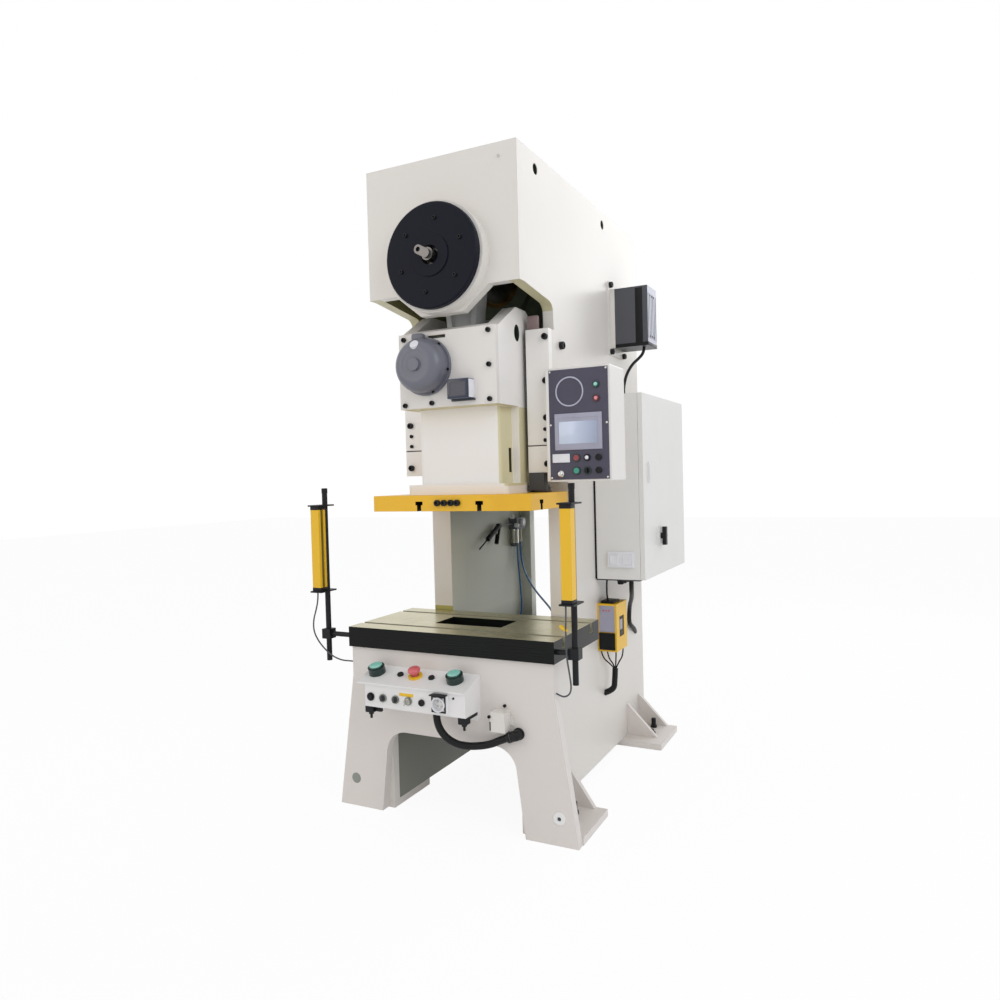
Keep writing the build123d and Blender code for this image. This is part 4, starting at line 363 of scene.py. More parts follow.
def pickFaces(piece, way):
    # the outermost faces that look one way, picked for the next edit
    way = Vector(way)
    facing = [(f.index, f.center.dot(way)) for f in piece.data.polygons if f.normal.dot(way) > 0.95]
    reach = max(r for _, r in facing)
    bpy.ops.object.mode_set(mode="EDIT")
    bpy.ops.mesh.select_mode(type="FACE")
    bpy.ops.mesh.select_all(action="DESELECT")
    bpy.ops.object.mode_set(mode="OBJECT")
    for index, r in facing:
        piece.data.polygons[index].select = r > reach - 1e-5
    bpy.ops.object.mode_set(mode="EDIT")


def addPlate(name, finish, low, high, rounding=0.001, segments=2, body="frame", well=None):
    # a plate between two corners; a well is the border and depth of a sunk front face
    clearSelection()
    bpy.ops.mesh.primitive_cube_add(size=1, location=[(a + b) / 2 for a, b in zip(low, high)])
    piece = bpy.context.object
    piece.scale = [b - a for a, b in zip(low, high)]
    bpy.ops.object.transform_apply(location=True, rotation=True, scale=True)
    if rounding:
        roundEdges(piece, rounding, segments)
    if well:
        border, depth = well
        pickFaces(piece, toFront)
        bpy.ops.mesh.inset(thickness=border, depth=0)
        bpy.ops.mesh.extrude_region_move(TRANSFORM_OT_translate={"value": Vector(toFront) * -depth})
        bpy.ops.object.mode_set(mode="OBJECT")
    settle(piece, name, finish, body)


def turned(center, way, steps, segments):
    # a round piece grown from a disc: each step is a radius and a height along the way it faces
    clearSelection()
    way, center = Vector(way).normalized(), Vector(center)
    turn = Vector(toTop).rotation_difference(way).to_euler()
    bpy.ops.mesh.primitive_circle_add(vertices=segments, radius=steps[0][0], fill_type="NGON",
                                      location=center + way * steps[0][1], rotation=turn)
    bpy.ops.object.transform_apply(location=True, rotation=True, scale=True)
    bpy.ops.object.mode_set(mode="EDIT")
    bpy.ops.mesh.select_mode(type="FACE")
    bpy.ops.mesh.select_all(action="SELECT")
    for (radius, height), (nextRadius, nextHeight) in zip(steps, steps[1:]):
        bpy.ops.mesh.extrude_region_move(TRANSFORM_OT_translate={"value": way * (nextHeight - height)})
        grow = nextRadius / radius
        bpy.ops.transform.resize(value=(grow,) * 3, center_override=center + way * nextHeight)
    bpy.ops.mesh.select_all(action="SELECT")
    bpy.ops.mesh.normals_make_consistent(inside=False)
    bpy.ops.object.mode_set(mode="OBJECT")
    return bpy.context.object


def ring(center, way, outer, inner, height, rounding=0.0006, segments=40):
    clearSelection()
    way = Vector(way).normalized()
    turn = Vector(toTop).rotation_difference(way).to_euler()
    bpy.ops.mesh.primitive_cylinder_add(vertices=segments, radius=outer, depth=height, end_fill_type="NOTHING",
                                        location=Vector(center) + way * height / 2, rotation=turn)
    piece = bpy.context.object
    bpy.ops.object.transform_apply(location=True, rotation=True, scale=True)
    wall = piece.modifiers.new("wall", "SOLIDIFY")
    wall.thickness, wall.offset = outer - inner, -1
    bpy.ops.object.modifier_apply(modifier="wall")
    roundEdges(piece, rounding)
    return piece


def addTurned(name, finish, spots, way, steps, segments=32, body="frame"):
    # the same round piece at each spot, all joined into one
    piece = turned(spots[0], way, steps, segments)
    first = Vector(spots[0])
    for spot in spots[1:]:
        twin = piece.copy()
        twin.data = piece.data.copy()
        twin.data.transform(Matrix.Translation(Vector(spot) - first))
        bpy.context.collection.objects.link(twin)
        twin.select_set(True)
    bpy.context.view_layer.objects.active = piece
    if len(spots) > 1:
        bpy.ops.object.join()
    settle(piece, name, finish, body)


def capScrews(name, spots, way, radius, body="frame", finish="blackSteel"):
    # socket cap screws with a hollow hexagon shown as a round well
    height = radius * 1.1
    addTurned(name, finish, spots, way, [(radius, 0), (radius, height * 0.86), (radius * 0.88, height),
                                         (radius * 0.55, height), (radius * 0.5, height * 0.4)], 20, body)


def strand(name, points, radius, smooth, sides):
    # a round bar along a smooth curve
    line = bpy.data.curves.new(name, "CURVE")
    line.dimensions, line.resolution_u = "3D", smooth
    line.bevel_depth, line.bevel_resolution, line.use_fill_caps = radius, sides, True
    spline = line.splines.new("NURBS")
    spline.points.add(len(points) - 1)
    for point, spot in zip(spline.points, points):
        point.co = (*spot, 1)
    spline.order_u, spline.use_endpoint_u = 3, True
    piece = bpy.data.objects.new(name, line)
    bpy.context.collection.objects.link(piece)
    return piece


def metres(points):
    return [[v / 1000 for v in spot] for spot in points]


def circle(x, y, z, radius, degrees):
    # spots on a circle that faces the front
    return [(x + radius * math.cos(a), y, z + radius * math.sin(a)) for a in map(math.radians, degrees)]


# Screws and bolts, grouped by what they hold
coverY = frontY + 0.062
gibY = frontY + 0.290
footTop = 0.028
screwSets = {
    "slideCoverScrews": dict(way=toFront, radius=0.0095, body="slide", spots=[
        (x, coverY, z) for x, z in ((-0.19, 1.875), (0.185, 1.877), (0.185, 1.749), (0.185, 1.62),
                                    (-0.191, 1.617), (-0.068, 1.62))]),
    "gibScrews": dict(way=toFront, radius=0.0125, spots=[
        (x, gibY, z) for x in (-0.318, 0.3165) for z in (1.872, 1.700, 1.555, 1.374)]),
    "gibSetScrews": dict(way=toFront, radius=0.0075, spots=[
        (x, gibY, z) for x in (-0.315, 0.309) for z in (1.510, 1.467)]),
    "columnScrew": dict(way=toRight, radius=0.016, spots=[(0.33, frontY + 0.413, 1.852)]),
    "capScrewsOuter": dict(way=toFront, radius=0.0075,
                           spots=circle(0, frontY - 0.036, 2.158, 0.136, range(20, 380, 60))),
    "bracketScrews": dict(way=toRight, radius=0.014, spots=[
        (0.335, y, z) for y in (frontY + 1.042, frontY + 1.228) for z in (2.226, 1.910)]),
    "terminalScrews": dict(way=toFront, radius=0.006, spots=[
        (0.204, frontY - 0.048, 0.454), (0.2445, frontY, 0.4855)]),
    "consoleScrew": dict(way=toFront, radius=0.004, spots=[(0.094, frontY - 0.115, 0.527)]),
    "crownScrews": dict(way=toFront, radius=0.0055, finish="cream", spots=[(0.258, frontY + 0.038, 2.495)]),
}
for name, parts in screwSets.items():
    capScrews(name, **parts)
anchor = {"radius": 0.018, "spots": [(x, y, footTop) for x in (-0.43, 0.43) for y in (-0.5375, 0.5375)]}
anchorShares = {"anchorBoltsWashers": (24, [(1.5, 0), (1.5, 0.22), (1.4, 0.26)]),
                "anchorBolts": (6, [(1.15, 0.2), (1.15, 0.9), (0.95, 1.05)])}
for name, (corners, shares) in anchorShares.items():
    addTurned(name, "blackSteel", anchor["spots"], toTop,
              [(r * anchor["radius"], h * anchor["radius"]) for r, h in shares], corners)
addTurned("levellingBolts", "blackSteel", [(x, y, footTop) for x in (-0.4224, 0.4224) for y in (-0.485, 0.6306)],
          toTop, [(0.0165, 0), (0.0165, 0.011), (0.0115, 0.0115), (0.0115, 0.045), (0.0095, 0.047)], 20)
addTurned("crownBreather", "nickel", [(0.262, -0.3105, 2.546)], toTop,
          [(0.013, 0), (0.013, 0.006), (0.008, 0.008), (0.008, 0.017), (0.012, 0.019), (0.012, 0.0255),
           (0.009, 0.0268)], 24)
for side, low, high in (("left", -0.3455, -0.2325), ("right", 0.2325, 0.3295)):
    addPlate(side + "GibJoint", "blackSteel", (low, gibY - 0.0006, 1.4445), (high, gibY + 0.004, 1.4475), 0)
print("stage: screws set")

# Slide plate: clamp screws of the tool shank at the front edge
addTurned("shankClampScrews", "blackSteel", [(x, frontY + 0.048, 1.232) for x in (-0.048, -0.018, 0.012, 0.04)],
          toFront, [(0.0125, -0.002), (0.0125, 0.011), (0.011, 0.013), (0.006, 0.013), (0.0055, 0.006)], 20, "slide")

# Die height motor: filler cap, lug and the screws round the dome
dome = {"x": -0.09, "y": coverY, "z": 1.762, "screwCircle": 0.107}
addTurned("fillerCap", "whitePlastic", [(dome["x"], dome["y"] - 0.083, dome["z"] + 0.076)], (0, -0.8, 0.6),
          [(0.0185, -0.014), (0.0185, 0.003), (0.016, 0.006), (0.004, 0.0065)], 28, "slide")
addPlate("domeLug", "hammered", (dome["x"] - 0.047, dome["y"] - 0.034, dome["z"] + 0.094),
         (dome["x"] + 0.003, dome["y"] - 0.002, dome["z"] + 0.128), 0.008, 4, "slide")
capScrews("domeScrews", circle(dome["x"], dome["y"] - 0.014, dome["z"], dome["screwCircle"], range(50, 410, 60)),
          toFront, 0.005, "slide")

# Die height counter: window, side plate and foot
counter = {"x": 0.072, "z": 1.663, "front": coverY - 0.046}
addPlate("counterFace", "counterGlass", (counter["x"] - 0.043, counter["front"] - 0.0026, counter["z"] - 0.034),
         (counter["x"] + 0.043, counter["front"] + 0.004, counter["z"] + 0.034), 0.002, body="slide",
         well=(0.009, 0.0012))
addPlate("counterSide", "whitePlastic", (counter["x"] + 0.0445, counter["front"] + 0.004, counter["z"] - 0.034),
         (counter["x"] + 0.048, coverY, counter["z"] + 0.034), body="slide")
addPlate("counterFoot", "darkGrey", (counter["x"] - 0.048, coverY - 0.012, counter["z"] - 0.0435),
         (counter["x"] + 0.052, coverY, counter["z"] - 0.0365), body="slide")
print("stage: slide dressed")

# Operator panel
panelY = gibY - 0.040
screen = {"left": 0.3665, "right": 0.5565, "low": 1.4235, "high": 1.5615, "over": 0.0006, "border": 0.015}
glassInset = {"left": 0.0165, "right": 0.0185, "low": 0.023, "high": 0.030}
addPlate("panelEdging", "panelCream", (0.3305, panelY - 0.0012, 1.304), (0.3435, panelY + 0.002, 1.737), 0.0008)
addPlate("screenBezel", "lilacFrame",
         (screen["left"] - screen["over"], panelY - 0.0035, screen["low"] - screen["over"]),
         (screen["right"] + screen["over"], panelY + 0.0005, screen["high"] + screen["over"]), 0.0012,
         well=(screen["border"], 0.0012))
addPlate("screenGlass", "screen",
         (screen["left"] + glassInset["left"], panelY - 0.0029, screen["low"] + glassInset["low"]),
         (screen["right"] - glassInset["right"], panelY - 0.0015, screen["high"] - glassInset["high"]), 0.0005)
clearSelection()
bpy.ops.mesh.primitive_torus_add(major_radius=0.0545, minor_radius=0.0030, major_segments=64, minor_segments=10,
                                 location=(0.4285, panelY - 0.0006, 1.6455), rotation=(math.pi / 2, 0, 0))
bpy.ops.object.transform_apply(location=True, rotation=True, scale=True)
settle(bpy.context.object, "blankRing", "ringLilac")
lensSteps = [(0.0075, 0), (0.0075, 0.0075), (0.0067, 0.0092), (0.0048, 0.0106), (0.002, 0.0112)]
for name, finish, collar, x, z in (("readyLamp", "mint", "deepGreen", 0.536, 1.666),
                                   ("faultLamp", "paleRed", "deepRed", 0.536, 1.614),
                                   ("powerLamp", "whitePlastic", "blackPlastic", 0.495, 1.392)):
    addTurned(name, finish, [(x, panelY, z)], toFront, lensSteps, 28)
    settle(ring((x, panelY, z), toFront, 0.0132, 0.0076, 0.006), name + "Collar", collar)
addTurned("panelPlugs", "blackPlastic", [(0.541, panelY, z) for z in (1.392, 1.343)], toFront,
          [(0.012, 0), (0.012, 0.0068), (0.0105, 0.008), (0.008, 0.008), (0.0075, 0.0066)], 28)
addTurned("meterKnob", "nickel", [(0.388, panelY, 1.332)], toFront,
          [(0.0125, 0), (0.0125, 0.003), (0.0095, 0.004), (0.0095, 0.013), (0.008, 0.0145), (0.003, 0.0148)], 28)
addPlate("meterPlate", "whitePlastic", (0.3545, panelY - 0.0042, 1.3755), (0.4255, panelY - 0.0005, 1.4085), 0.0012,
         well=(0.003, 0.0008))
addTurned("panelScrews", "nickel", [(x, panelY, z) for x in (0.349, 0.5755) for z in (1.3165, 1.5205, 1.7245)],
          toFront, [(0.0042, 0), (0.0042, 0.001), (0.003, 0.002), (0.001, 0.0022)], 16)
print("stage: operator panel dressed")

# Cabinet: outlet cover, a dark strip along its front edge as the painted shadow in the gap beside the frame, lower
# rail, cable glands and lock, and the trim of the inverter above it
cabinetY = frontY + 0.769
addPlate("outletCover", "whitePlastic", (0.391, cabinetY - 0.012, 0.913), (0.511, cabinetY + 0.001, 0.983), 0.003, 3,
         well=(0.006, 0.0015))
for index, x in enumerate((0.421, 0.481)):
    addPlate("outletGang" + str(index), "whitePlastic", (x - 0.02, cabinetY - 0.0135, 0.925),
             (x + 0.02, cabinetY - 0.009, 0.971), 0.002, well=(0.004, 0.001))
# Dark strip at the cabinet's front left edge: painted shadow of the gap beside the frame
addPlate("cabinetGapShadow", "rubber", (0.3302, cabinetY - 0.0022, 0.859), (0.3385, cabinetY + 0.001, 1.678), 0.0008)
addPlate("cabinetRail", "darkGrey", (0.333, cabinetY + 0.004, 0.853), (0.536, cabinetY + 0.60, 0.8595))
addTurned("cableGlands", "blackPlastic", [(0.434, cabinetY + 0.04 + 0.042 * k, 0.853) for k in range(4)], toFloor,
          [(0.017, 0), (0.017, 0.006), (0.0145, 0.007), (0.0145, 0.017), (0.011, 0.0205), (0.008, 0.0207)], 24)
addPlate("inverterBand", "blackPlastic", (0.452, 0.3565, 1.935), (0.487, 0.3580, 2.2), 0.0005)
addPlate("inverterBase", "blackPlastic", (0.3525, 0.3567, 1.9283), (0.5128, 0.5083, 1.945), 0.0008)
addTurned("inverterVents", "blackPlastic", [(0.512, 0.40 + 0.03 * k, z) for k in range(3) for z in (1.975, 2.165)],
          toRight, [(0.005, 0), (0.005, 0.0008), (0.004, 0.001)], 16)
doorX = 0.559
addPlate("doorLock", "cabinetCream", (doorX + 0.006, frontY + 0.84, 1.295), (doorX + 0.0105, frontY + 0.852, 1.365),
         0.0015, body="cabinet_door")
print("stage: cabinet dressed")

# Console on the bed: spots are counted from the middle of the sloping lid
consoleY = frontY - 0.115
rowZ = 0.497
lid = {"depth": 0.115, "rise": 0.038, "frontZ": 0.547, "share": 0.55, "thickness": 0.006}
slope = math.atan2(lid["rise"], lid["depth"])
lidUp = Vector((0, -math.sin(slope), math.cos(slope)))
lidMid = Vector((0, consoleY + lid["share"] * lid["depth"],
                 lid["frontZ"] + lid["share"] * lid["rise"])) + lidUp * lid["thickness"]


def onLid(x, up=0.0):
    return Vector((x, 0, 0)) + lidMid + lidUp * up


stopX = -0.107
for side, x in (("left", -0.283), ("right", 0.068)):
    addTurned(side + "PalmLens", "mint", [onLid(x, 0.0335)], lidUp,
              [(0.0248, 0), (0.0248, 0.0018), (0.021, 0.0032), (0.005, 0.0038)], 36, "palm_button_" + side)
settle(ring(onLid(stopX), lidUp, 0.0275, 0.0145, 0.0075), "stopCollar", "collarYellow")
addTurned("stopButtonCap", "stopRed", [onLid(stopX, 0.0225)], lidUp,
          [(0.0215, 0), (0.0238, 0.003), (0.0245, 0.007), (0.0235, 0.011), (0.0195, 0.0145), (0.012, 0.0162),
           (0.004, 0.0168)], 36, "emergency_stop")
addPlate("keyLegend", "collarYellow", (-0.141, consoleY - 0.0015, 0.5128), (-0.079, consoleY + 0.0005, 0.5245), 0.0005)
for name, x in (("push", -0.272), ("mode", -0.216), ("stroke", -0.159), ("key", -0.101)):
    settle(ring((x, consoleY, rowZ), toFront, 0.0158, 0.0118, 0.006), name + "Collar",
           "blackPlastic" if name == "push" else "satin")
addTurned("fuseCap", "blackPlastic", [(-0.042, consoleY, rowZ)], toFront,
          [(0.0125, 0), (0.0125, 0.007), (0.011, 0.009), (0.006, 0.009), (0.0055, 0.0075)], 28)
addTurned("lidPlugs", "blackPlastic", [onLid(-0.175), onLid(-0.035)], lidUp,
          [(0.0125, 0), (0.0125, 0.0065), (0.0105, 0.009), (0.004, 0.0095)], 28)

# Foot switch socket: square flange, white shell, pins and a hinged cap above
socket = {"x": 0.039, "y": consoleY - 0.014, "z": 0.503}
socketSpot = Vector((socket["x"], socket["y"], socket["z"]))
flange = ring(socketSpot, toFront, 0.0315, 0.0255, 0.003, 0.0008, 4)
flange.data.transform(Matrix.Translation(socketSpot) @ Matrix.Rotation(math.pi / 4, 4, "Y")
                      @ Matrix.Diagonal((1.36, 1, 1.36, 1)) @ Matrix.Translation(-socketSpot))
settle(flange, "socketFlange", "blackPlastic")
settle(ring((socket["x"], socket["y"] + 0.004, socket["z"]), toFront, 0.0275, 0.0235, 0.014), "socketShell",
       "whitePlastic")
addTurned("socketPins", "nickel", circle(socket["x"], socket["y"] + 0.0085, socket["z"], 0.012, range(45, 405, 90)),
          toFront, [(0.0035, 0), (0.0035, 0.006), (0.0024, 0.0075), (0.001, 0.0077)], 16)
addPlate("socketHood", "blackPlastic", (socket["x"] - 0.033, socket["y"] - 0.016, socket["z"] + 0.0315),
         (socket["x"] + 0.033, socket["y"] + 0.010, socket["z"] + 0.0365), 0.002, 3)

# Clamps that hold the console on its ledge
for side, x in (("left", -0.287), ("right", 0.1255)):
    addPlate(side + "ClampJaw", "blackSteel", (x - 0.0195, frontY - 0.110, 0.431), (x + 0.0175, frontY - 0.078, 0.4575),
             0.003, 3)
    addTurned(side + "ClampStud", "blackSteel", [(x, frontY - 0.096, 0.4315)], toFloor,
              [(0.010, 0), (0.010, 0.008), (0.005, 0.009), (0.005, 0.024), (0.002, 0.0245)], 16)
    addPlate(side + "ClampArm", "blackSteel", (x + 0.003, frontY - 0.080, 0.4445), (x + 0.0155, frontY - 0.018, 0.4575),
             0.002)
addPlate("leftClampWedge", "blackSteel", (-0.270, frontY - 0.098, 0.435), (-0.238, frontY - 0.086, 0.4475), 0.002)

# Terminal box and the elbow of the conduit
addPlate("terminalGroove", "blackSteel", (0.2035, frontY - 0.0488, 0.403), (0.2085, frontY - 0.0475, 0.435), 0.0004)
elbow = {"x": 0.299, "z": 0.388, "way": (-36, -2, -13)}
stub = [(elbow["x"], frontY - 0.022, elbow["z"])]
addTurned("conduitElbow", "blackPlastic", [(elbow["x"], frontY, elbow["z"])], toFront,
          [(0.0225, 0), (0.0225, 0.006), (0.0193, 0.007), (0.0193, 0.024), (0.0185, 0.0318), (0.014, 0.0385),
           (0.006, 0.0414), (0.001, 0.0416)])
addTurned("conduitStub", "blackPlastic", stub, elbow["way"], [(0.0193, 0), (0.0193, 0.0215), (0.018, 0.0224)])
addTurned("conduitNut", "blackPlastic", stub, elbow["way"],
          [(0.0195, 0.0222), (0.0205, 0.024), (0.0205, 0.034), (0.0185, 0.037), (0.0150, 0.038)], 12)
print("stage: console dressed")

# Light curtain: moulded ends, sensor windows and post caps
postY = frontY + 0.015
curtainY = postY - 0.046
for side, x, windowX in (("left", -0.573, -0.5551), ("right", 0.520, 0.5021)):
    for end, z in (("Lower", 0.881), ("Upper", 1.212)):
        addPlate(side + "Curtain" + end + "End", "blackPlastic", (x - 0.0212, curtainY - 0.0222, z - 0.0005),
                 (x + 0.0212, curtainY + 0.0222, z + 0.0145), 0.002)
    addPlate(side + "CurtainWindow", "smoked", (windowX - 0.001, curtainY - 0.0078, 0.8965),
             (windowX + 0.001, curtainY + 0.0078, 1.2105), 0.0006)
    addTurned(side + "PostCap", "blackPlastic", [(x, postY, 1.298)], toTop,
              [(0.0122, -0.02), (0.0122, 0.0), (0.0105, 0.0012)], 24)

# Curtain controller: face plate, terminal block, side window, plug and lamps
control = {"y": frontY + 0.78, "z": 0.53}
addPlate("controllerFace", "lilacFrame", (0.338, control["y"] - 0.001, control["z"] + 0.088),
         (0.412, control["y"] + 0.0045, control["z"] + 0.207), 0.0015, well=(0.004, 0.0008))
addPlate("controllerTerminals", "blackPlastic", (0.338, control["y"] - 0.006, control["z"] + 0.008),
         (0.412, control["y"] + 0.0045, control["z"] + 0.084), 0.002, well=(0.006, 0.002))
addPlate("controllerWindow", "blackPlastic", (0.4165, control["y"] + 0.0425, control["z"] + 0.062),
         (0.4182, control["y"] + 0.1075, control["z"] + 0.153), 0.0006)
addPlate("controllerRating", "lilacFrame", (0.4178, control["y"] + 0.052, control["z"] + 0.092),
         (0.4192, control["y"] + 0.086, control["z"] + 0.138), 0.0005)
addPlate("controllerPlug", "blackPlastic", (0.342, control["y"] + 0.012, control["z"] + 0.2145),
         (0.404, control["y"] + 0.10, control["z"] + 0.226), 0.003)
addTurned("controllerLamps", "signalRed",
          [(0.36 + 0.013 * k, control["y"] - 0.0005, control["z"] + 0.185) for k in range(3)], toFront,
          [(0.0035, 0), (0.0035, 0.0015), (0.002, 0.0025)], 16)
addTurned("curtainConnector", "collarYellow", [(0.506, -0.7205, 0.782)], (-0.87, 0, 0.5),
          [(0.005, 0), (0.0075, 0.003), (0.0075, 0.024), (0.0055, 0.033)], 20)

# Fixed leads under the cabinet and the controller: radius, and route in millimetres
leads = {
    "cabinetLead": (0.0105, [(478, 124, 853), (476, 130, 815), (430, 280, 745), (362, 460, 680), (349, 484, 600),
                             (345, 520, 568), (342, 600, 535), (328, 650, 508)]),
    "sensorLead": (0.004, [(375, 90, 856), (374, 88, 820), (373, 92, 785), (373, 103, 752)]),
    "controllerSleeve": (0.0135, [(375, 179, 432), (375, 170, 375), (372, 162, 335), (328, 160, 318)]),
    "controllerLeadA": (0.0032, [(342, 86, 532), (345, 95, 495), (366, 150, 455), (374, 176, 428)]),
    "controllerLeadB": (0.0032, [(362, 110, 532), (362, 125, 490), (372, 165, 455), (375, 177, 428)]),
    "controllerLeadC": (0.0032, [(385, 165, 532), (384, 170, 500), (378, 180, 460), (376, 180, 428)]),
    "controllerLeadD": (0.0032, [(406, 205, 532), (407, 206, 490), (386, 192, 455), (377, 182, 428)]),
}
for name, (radius, points) in leads.items():
    clearSelection()
    piece = strand(name, metres(points), radius, smooth=6, sides=3)
    piece.select_set(True)
    bpy.context.view_layer.objects.active = piece
    bpy.ops.object.convert(target="MESH")
    settle(bpy.context.object, name, "rubber")
print("stage: light curtain dressed")

# Air station: bowl, outlet fittings, gauge, couplings and the trigger of the blow gun
airX, airY = -0.261, frontY + 1.15
addTurned("filterBowl", "nickel", [(airX, airY + 0.021, 1.0505)], toFloor,
          [(0.0225, 0), (0.0225, 0.014), (0.0215, 0.016), (0.0215, 0.07), (0.018, 0.086), (0.008, 0.0915)])
for name, offset in (("down", 0.048), ("across", 0.088)):
    addTurned(name + "Fitting", "ivory", [(airX, airY + offset, 1.051)], toFloor,
              [(0.0115, 0), (0.0115, 0.010), (0.0096, 0.012), (0.0096, 0.052), (0.0110, 0.054), (0.0110, 0.0685),
               (0.0085, 0.0718)], 20)
addTurned("airGauge", "whitePlastic", [(airX + 0.024, airY + 0.06, 1.085)], toRight,
          [(0.02, 0), (0.02, 0.014), (0.018, 0.016), (0.0165, 0.016), (0.0165, 0.0145)])
couplings = [((airX + 0.010, airY - 0.026, 1.109), toTop), ((-0.2375, airY - 0.021, 1.0736), toRight)]
for index, (spot, way) in enumerate(couplings):
    addTurned("airCoupling" + str(index), "whitePlastic", [spot], way,
              [(0.0115, 0), (0.0115, 0.011), (0.0095, 0.013), (0.0095, 0.020), (0.007, 0.0215)], 24)
addPlate("gunTrigger", "nickel", (airX - 0.004, airY - 0.190, 1.038), (airX + 0.004, airY - 0.172, 1.0705), 0.003, 3)
print("stage: air station dressed")

# Painted shade in the hollows: dark bores in the lifting holes, dark wells in the slide ears
hollows = {"liftX": 0.286, "liftY": (-0.5005, 0.2625), "liftZ": 2.488, "ear": (0.215, -0.4555, 1.890), "tall": 1.375}
for side, hand in (("left", -1), ("right", 1)):
    for end, y in zip(("Front", "Rear"), hollows["liftY"]):
        bore = ring((hand * hollows["liftX"], y, hollows["liftZ"]), (hand, 0, 0), 0.0208, 0.0195, 0.0425, 0.0004)
        settle(bore, side + "Lifting" + end, "hollowShade")
for side, hand in (("left", -1), ("right", 1)):
    earX, earY, earZ = hollows["ear"]
    spot = Vector((hand * earX, earY, earZ))
    tall = Matrix.Translation(spot) @ Matrix.Diagonal((1, 1, hollows["tall"], 1)) @ Matrix.Translation(-spot)
    well = turned(spot - Vector((hand * 0.030, 0, 0)), (hand, 0, 0),
                  [(0.0236, 0), (0.0236, 0.001), (0.021, 0.0012)], 32)
    well.data.transform(tall)
    settle(well, side + "EarWell", "hollowShade", "slide")
    shadeSleeve = ring(spot - Vector((hand * 0.029, 0, 0)), (hand, 0, 0), 0.0238, 0.0228, 0.0286, 0.0003)
    shadeSleeve.data.transform(tall)
    settle(shadeSleeve, side + "EarShadeSleeve", "hollowShade", "slide")

# Felt wiper on the right gib, a dark backing on the slide plate as painted shade behind the gap under the knockout
# stop, and painted shade in the slot of the slide cover
addPlate("gibWiper", "wiperFelt", (0.2345, gibY + 0.012, 1.9045), (0.279, gibY + 0.033, 1.962), 0.002)
addPlate("slidePlateShadeBacking", "oiledSteel", (0.226, -0.379, 1.2615), (0.312, -0.371, 1.283), 0.0008, body="slide")
addPlate("coverSlotShade", "hollowShade", (-0.0815, coverY + 0.008, 1.8693), (-0.0025, coverY + 0.0198, 1.8807), 0.0005,
         body="slide")

# Blank plug and drain plug in the front of the bed legs
addTurned("leftLegPlug", "plugGrey", [(-0.443, frontY + 0.001, 0.114)], toFront,
          [(0.021, 0), (0.021, 0.002), (0.0185, 0.003), (0.012, 0.0034), (0.003, 0.0036)], 28)
addTurned("rightLegPlug", "consoleWhite", [(0.451, frontY + 0.001, 0.100)], toFront,
          [(0.024, 0), (0.024, 0.003), (0.0215, 0.005), (0.008, 0.005), (0.0075, 0.003)])
addTurned("legPlugScrew", "darkGrey", [(0.451, frontY - 0.0018, 0.100)], toFront,
          [(0.0066, 0), (0.0066, 0.001), (0.005, 0.0016)], 20)

# Cords on the routes of the model, in millimetres
cords = {
    "console_conduit": dict(finish="rubber", diameter=0.028, length=0.373, stiffness="stiff", points=[
        (-5, -777.5, 458), (-5, -777.5, 426), (8, -774.5, 386), (39, -768.5, 353), (87, -759.5, 334),
        (144.3, -743.6, 334.5), (200.3, -734.6, 346.5), (242.3, -727.6, 367.5), (278.3, -725.6, 380.5)]),
    "drive_box_cable": dict(finish="rubber", diameter=0.014, length=0.317, stiffness="stiff", points=[
        (479, 402.5, 1928), (478, 399, 1902), (462, 376, 1873), (440, 336, 1842), (424, 298, 1796),
        (420, 268, 1748), (422, 246.5, 1710.5), (422, 246.5, 1678)]),
    "curtain_cable_left": dict(finish="greyCable", diameter=0.006, length=0.412, stiffness="medium", points=[
        (-586, -733.5, 875), (-586, -733.5, 846), (-599, -731.5, 801), (-619, -727.5, 757), (-623, -723.5, 708),
        (-606, -716.5, 668), (-579, -712.5, 637), (-545, -704.5, 607), (-508, -692.5, 590), (-470, -682.5, 588),
        (-442, -682.5, 588)]),
    "curtain_cable_right": dict(finish="greyCable", diameter=0.006, length=0.379, stiffness="medium", points=[
        (507, -733.5, 875), (507, -733.5, 845), (502, -726.5, 795), (499, -720.5, 738), (500, -717.5, 683),
        (506, -713.5, 636), (511, -707.5, 583), (502, -698.5, 555), (481, -688.5, 539), (462, -682.5, 537),
        (442, -682.5, 546)]),
    "air_tube_down": dict(finish="blueTube", diameter=0.010, length=0.456, stiffness="medium", points=[
        (-261, 495.5, 980), (-261, 495.5, 936), (-253, 486.5, 862), (-241, 475.5, 788), (-232, 465.5, 714),
        (-223, 458.5, 632), (-241, 460.5, 584), (-265, 460.5, 560), (-285, 460.5, 560)]),
    "air_tube_across": dict(finish="blueTube", diameter=0.010, length=0.978, stiffness="medium", points=[
        (-261, 535.5, 980), (-261, 535.5, 937.4), (-250, 523.3, 878.2), (-216.1, 484.6, 826), (-161.2, 421.6, 784.8),
        (-100.3, 345.7, 757.8), (-36.4, 260.9, 740.2), (25.9, 176.2, 728.4), (83.3, 94.8, 720.1), (133.2, 16.8, 713.8),
        (163.2, -44.2, 709.7), (185.6, -101.8, 706.6), (200.6, -132.3, 705), (218, -142.5, 705), (238, -142.5, 705)]),
}
for name, parts in cords.items():
    points = metres(parts["points"])
    cordPiece = strand(name + "Cord", points, parts["diameter"] / 2, smooth=12, sides=6)
    cordPiece.data.materials.append(finishes[parts["finish"]])
    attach(cordPiece, "frame")
    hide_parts(name)
print("stage: cords laid")


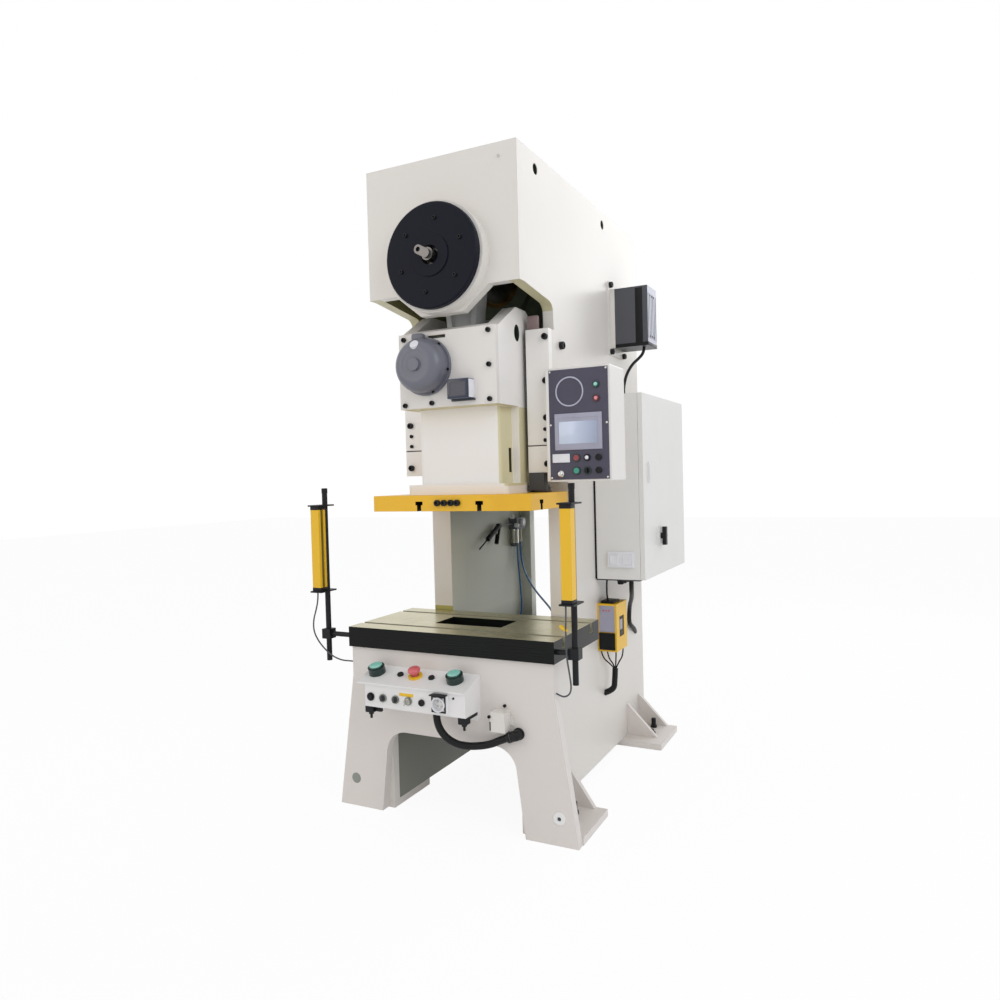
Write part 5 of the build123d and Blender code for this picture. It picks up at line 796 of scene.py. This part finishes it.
# One for rays straight from the camera, off a mirror or through glass, nought for light that falls on the part
def seenPlainly(tree):
    rays = addNode(tree, "LightPath").outputs
    mirrored = addNode(tree, "Math", {0: rays["Is Glossy Ray"], 1: rays["Is Transmission Ray"]}, operation="MAXIMUM")
    return addNode(tree, "Math", {0: rays["Is Camera Ray"], 1: mirrored}, operation="MAXIMUM")


# Pale floor, plain light and the camera of the photograph
clearSelection()
bpy.ops.mesh.primitive_plane_add(size=40, location=(0, 0, 0))
floor = bpy.context.object
floor.name = "floor"
floorFinish, tree, _ = newFinish("paleFloor")
seen = addNode(tree, "Math", {0: seenPlainly(tree), 1: 0.93}, operation="MULTIPLY")
glow = addNode(tree, "Emission", {"Color": srgb("#FFFFFF"), "Strength": 1.0})
matt = addNode(tree, "BsdfPrincipled", {"Base Color": srgb("#FFFFFF"), "Roughness": 0.8})
closeFinish(tree, addNode(tree, "MixShader", {0: seen, 1: matt, 2: glow}))
floor.data.materials.append(floorFinish)

world = bpy.data.worlds.new("studio")
bpy.context.scene.world = world
world.use_nodes = True
tree = world.node_tree
tree.nodes.clear()
soft = addNode(tree, "Background", {"Color": srgb("#F4F6FA"), "Strength": 0.66})
white = addNode(tree, "Background", {"Color": srgb("#FFFFFF"), "Strength": 1.0})
sky = addNode(tree, "MixShader", {0: seenPlainly(tree), 1: soft, 2: white})
addNode(tree, "OutputWorld", {"Surface": sky})

lamps = {
    "keyLamp": dict(place=(4.8, -3.0, 4.2), aim=(0, -0.3, 1.3), size=3.0, watts=84, color="#F1F5FF"),
    "fillLamp": dict(place=(-3.4, -4.8, 3.0), aim=(0, -0.3, 1.2), size=3.5, watts=40, color="#FFF6EC"),
    "rearLamp": dict(place=(1.5, 4.2, 4.0), aim=(0, 0, 1.4), size=3.0, watts=55, color="#FFFFFF"),
    "topLamp": dict(place=(0.2, -2.2, 5.2), aim=(0, -0.4, 0.8), size=2.5, watts=10, color="#FFFFFF"),
}
for name, parts in lamps.items():
    lamp = bpy.data.lights.new(name, "AREA")
    lamp.energy, lamp.size = parts["watts"], parts["size"]
    lamp.color = srgb(parts["color"])[:3]
    lampObject = bpy.data.objects.new(name, lamp)
    bpy.context.collection.objects.link(lampObject)
    lampObject.location = parts["place"]
    way = Vector(parts["aim"]) - Vector(parts["place"])
    lampObject.rotation_euler = way.to_track_quat("-Z", "Y").to_euler()

view = {"place": (1.5248, -3.24157, 1.32402), "lens": 28.059, "sensor": 36, "yaw": 26.723, "pitch": -1.6413,
        "roll": -1.50186}
yaw, pitch, roll = (math.radians(view[k]) for k in ("yaw", "pitch", "roll"))
ahead = Vector((-math.sin(yaw) * math.cos(pitch), math.cos(yaw) * math.cos(pitch), math.sin(pitch)))
right = Vector((math.cos(yaw), math.sin(yaw), 0))
upward = right.cross(ahead)
tiltRight = math.cos(roll) * right + math.sin(roll) * upward
tiltUp = -math.sin(roll) * right + math.cos(roll) * upward
cameraData = bpy.data.cameras.new("photoCamera")
cameraData.sensor_width, cameraData.lens = view["sensor"], view["lens"]
cameraObject = bpy.data.objects.new("photoCamera", cameraData)
bpy.context.collection.objects.link(cameraObject)
axes = Matrix((tiltRight, tiltUp, -ahead)).transposed().to_4x4()
cameraObject.matrix_world = Matrix.Translation(view["place"]) @ axes
bpy.context.scene.camera = cameraObject
bpy.context.scene.view_settings.view_transform = "Standard"
print("stage: floor, light and camera set")
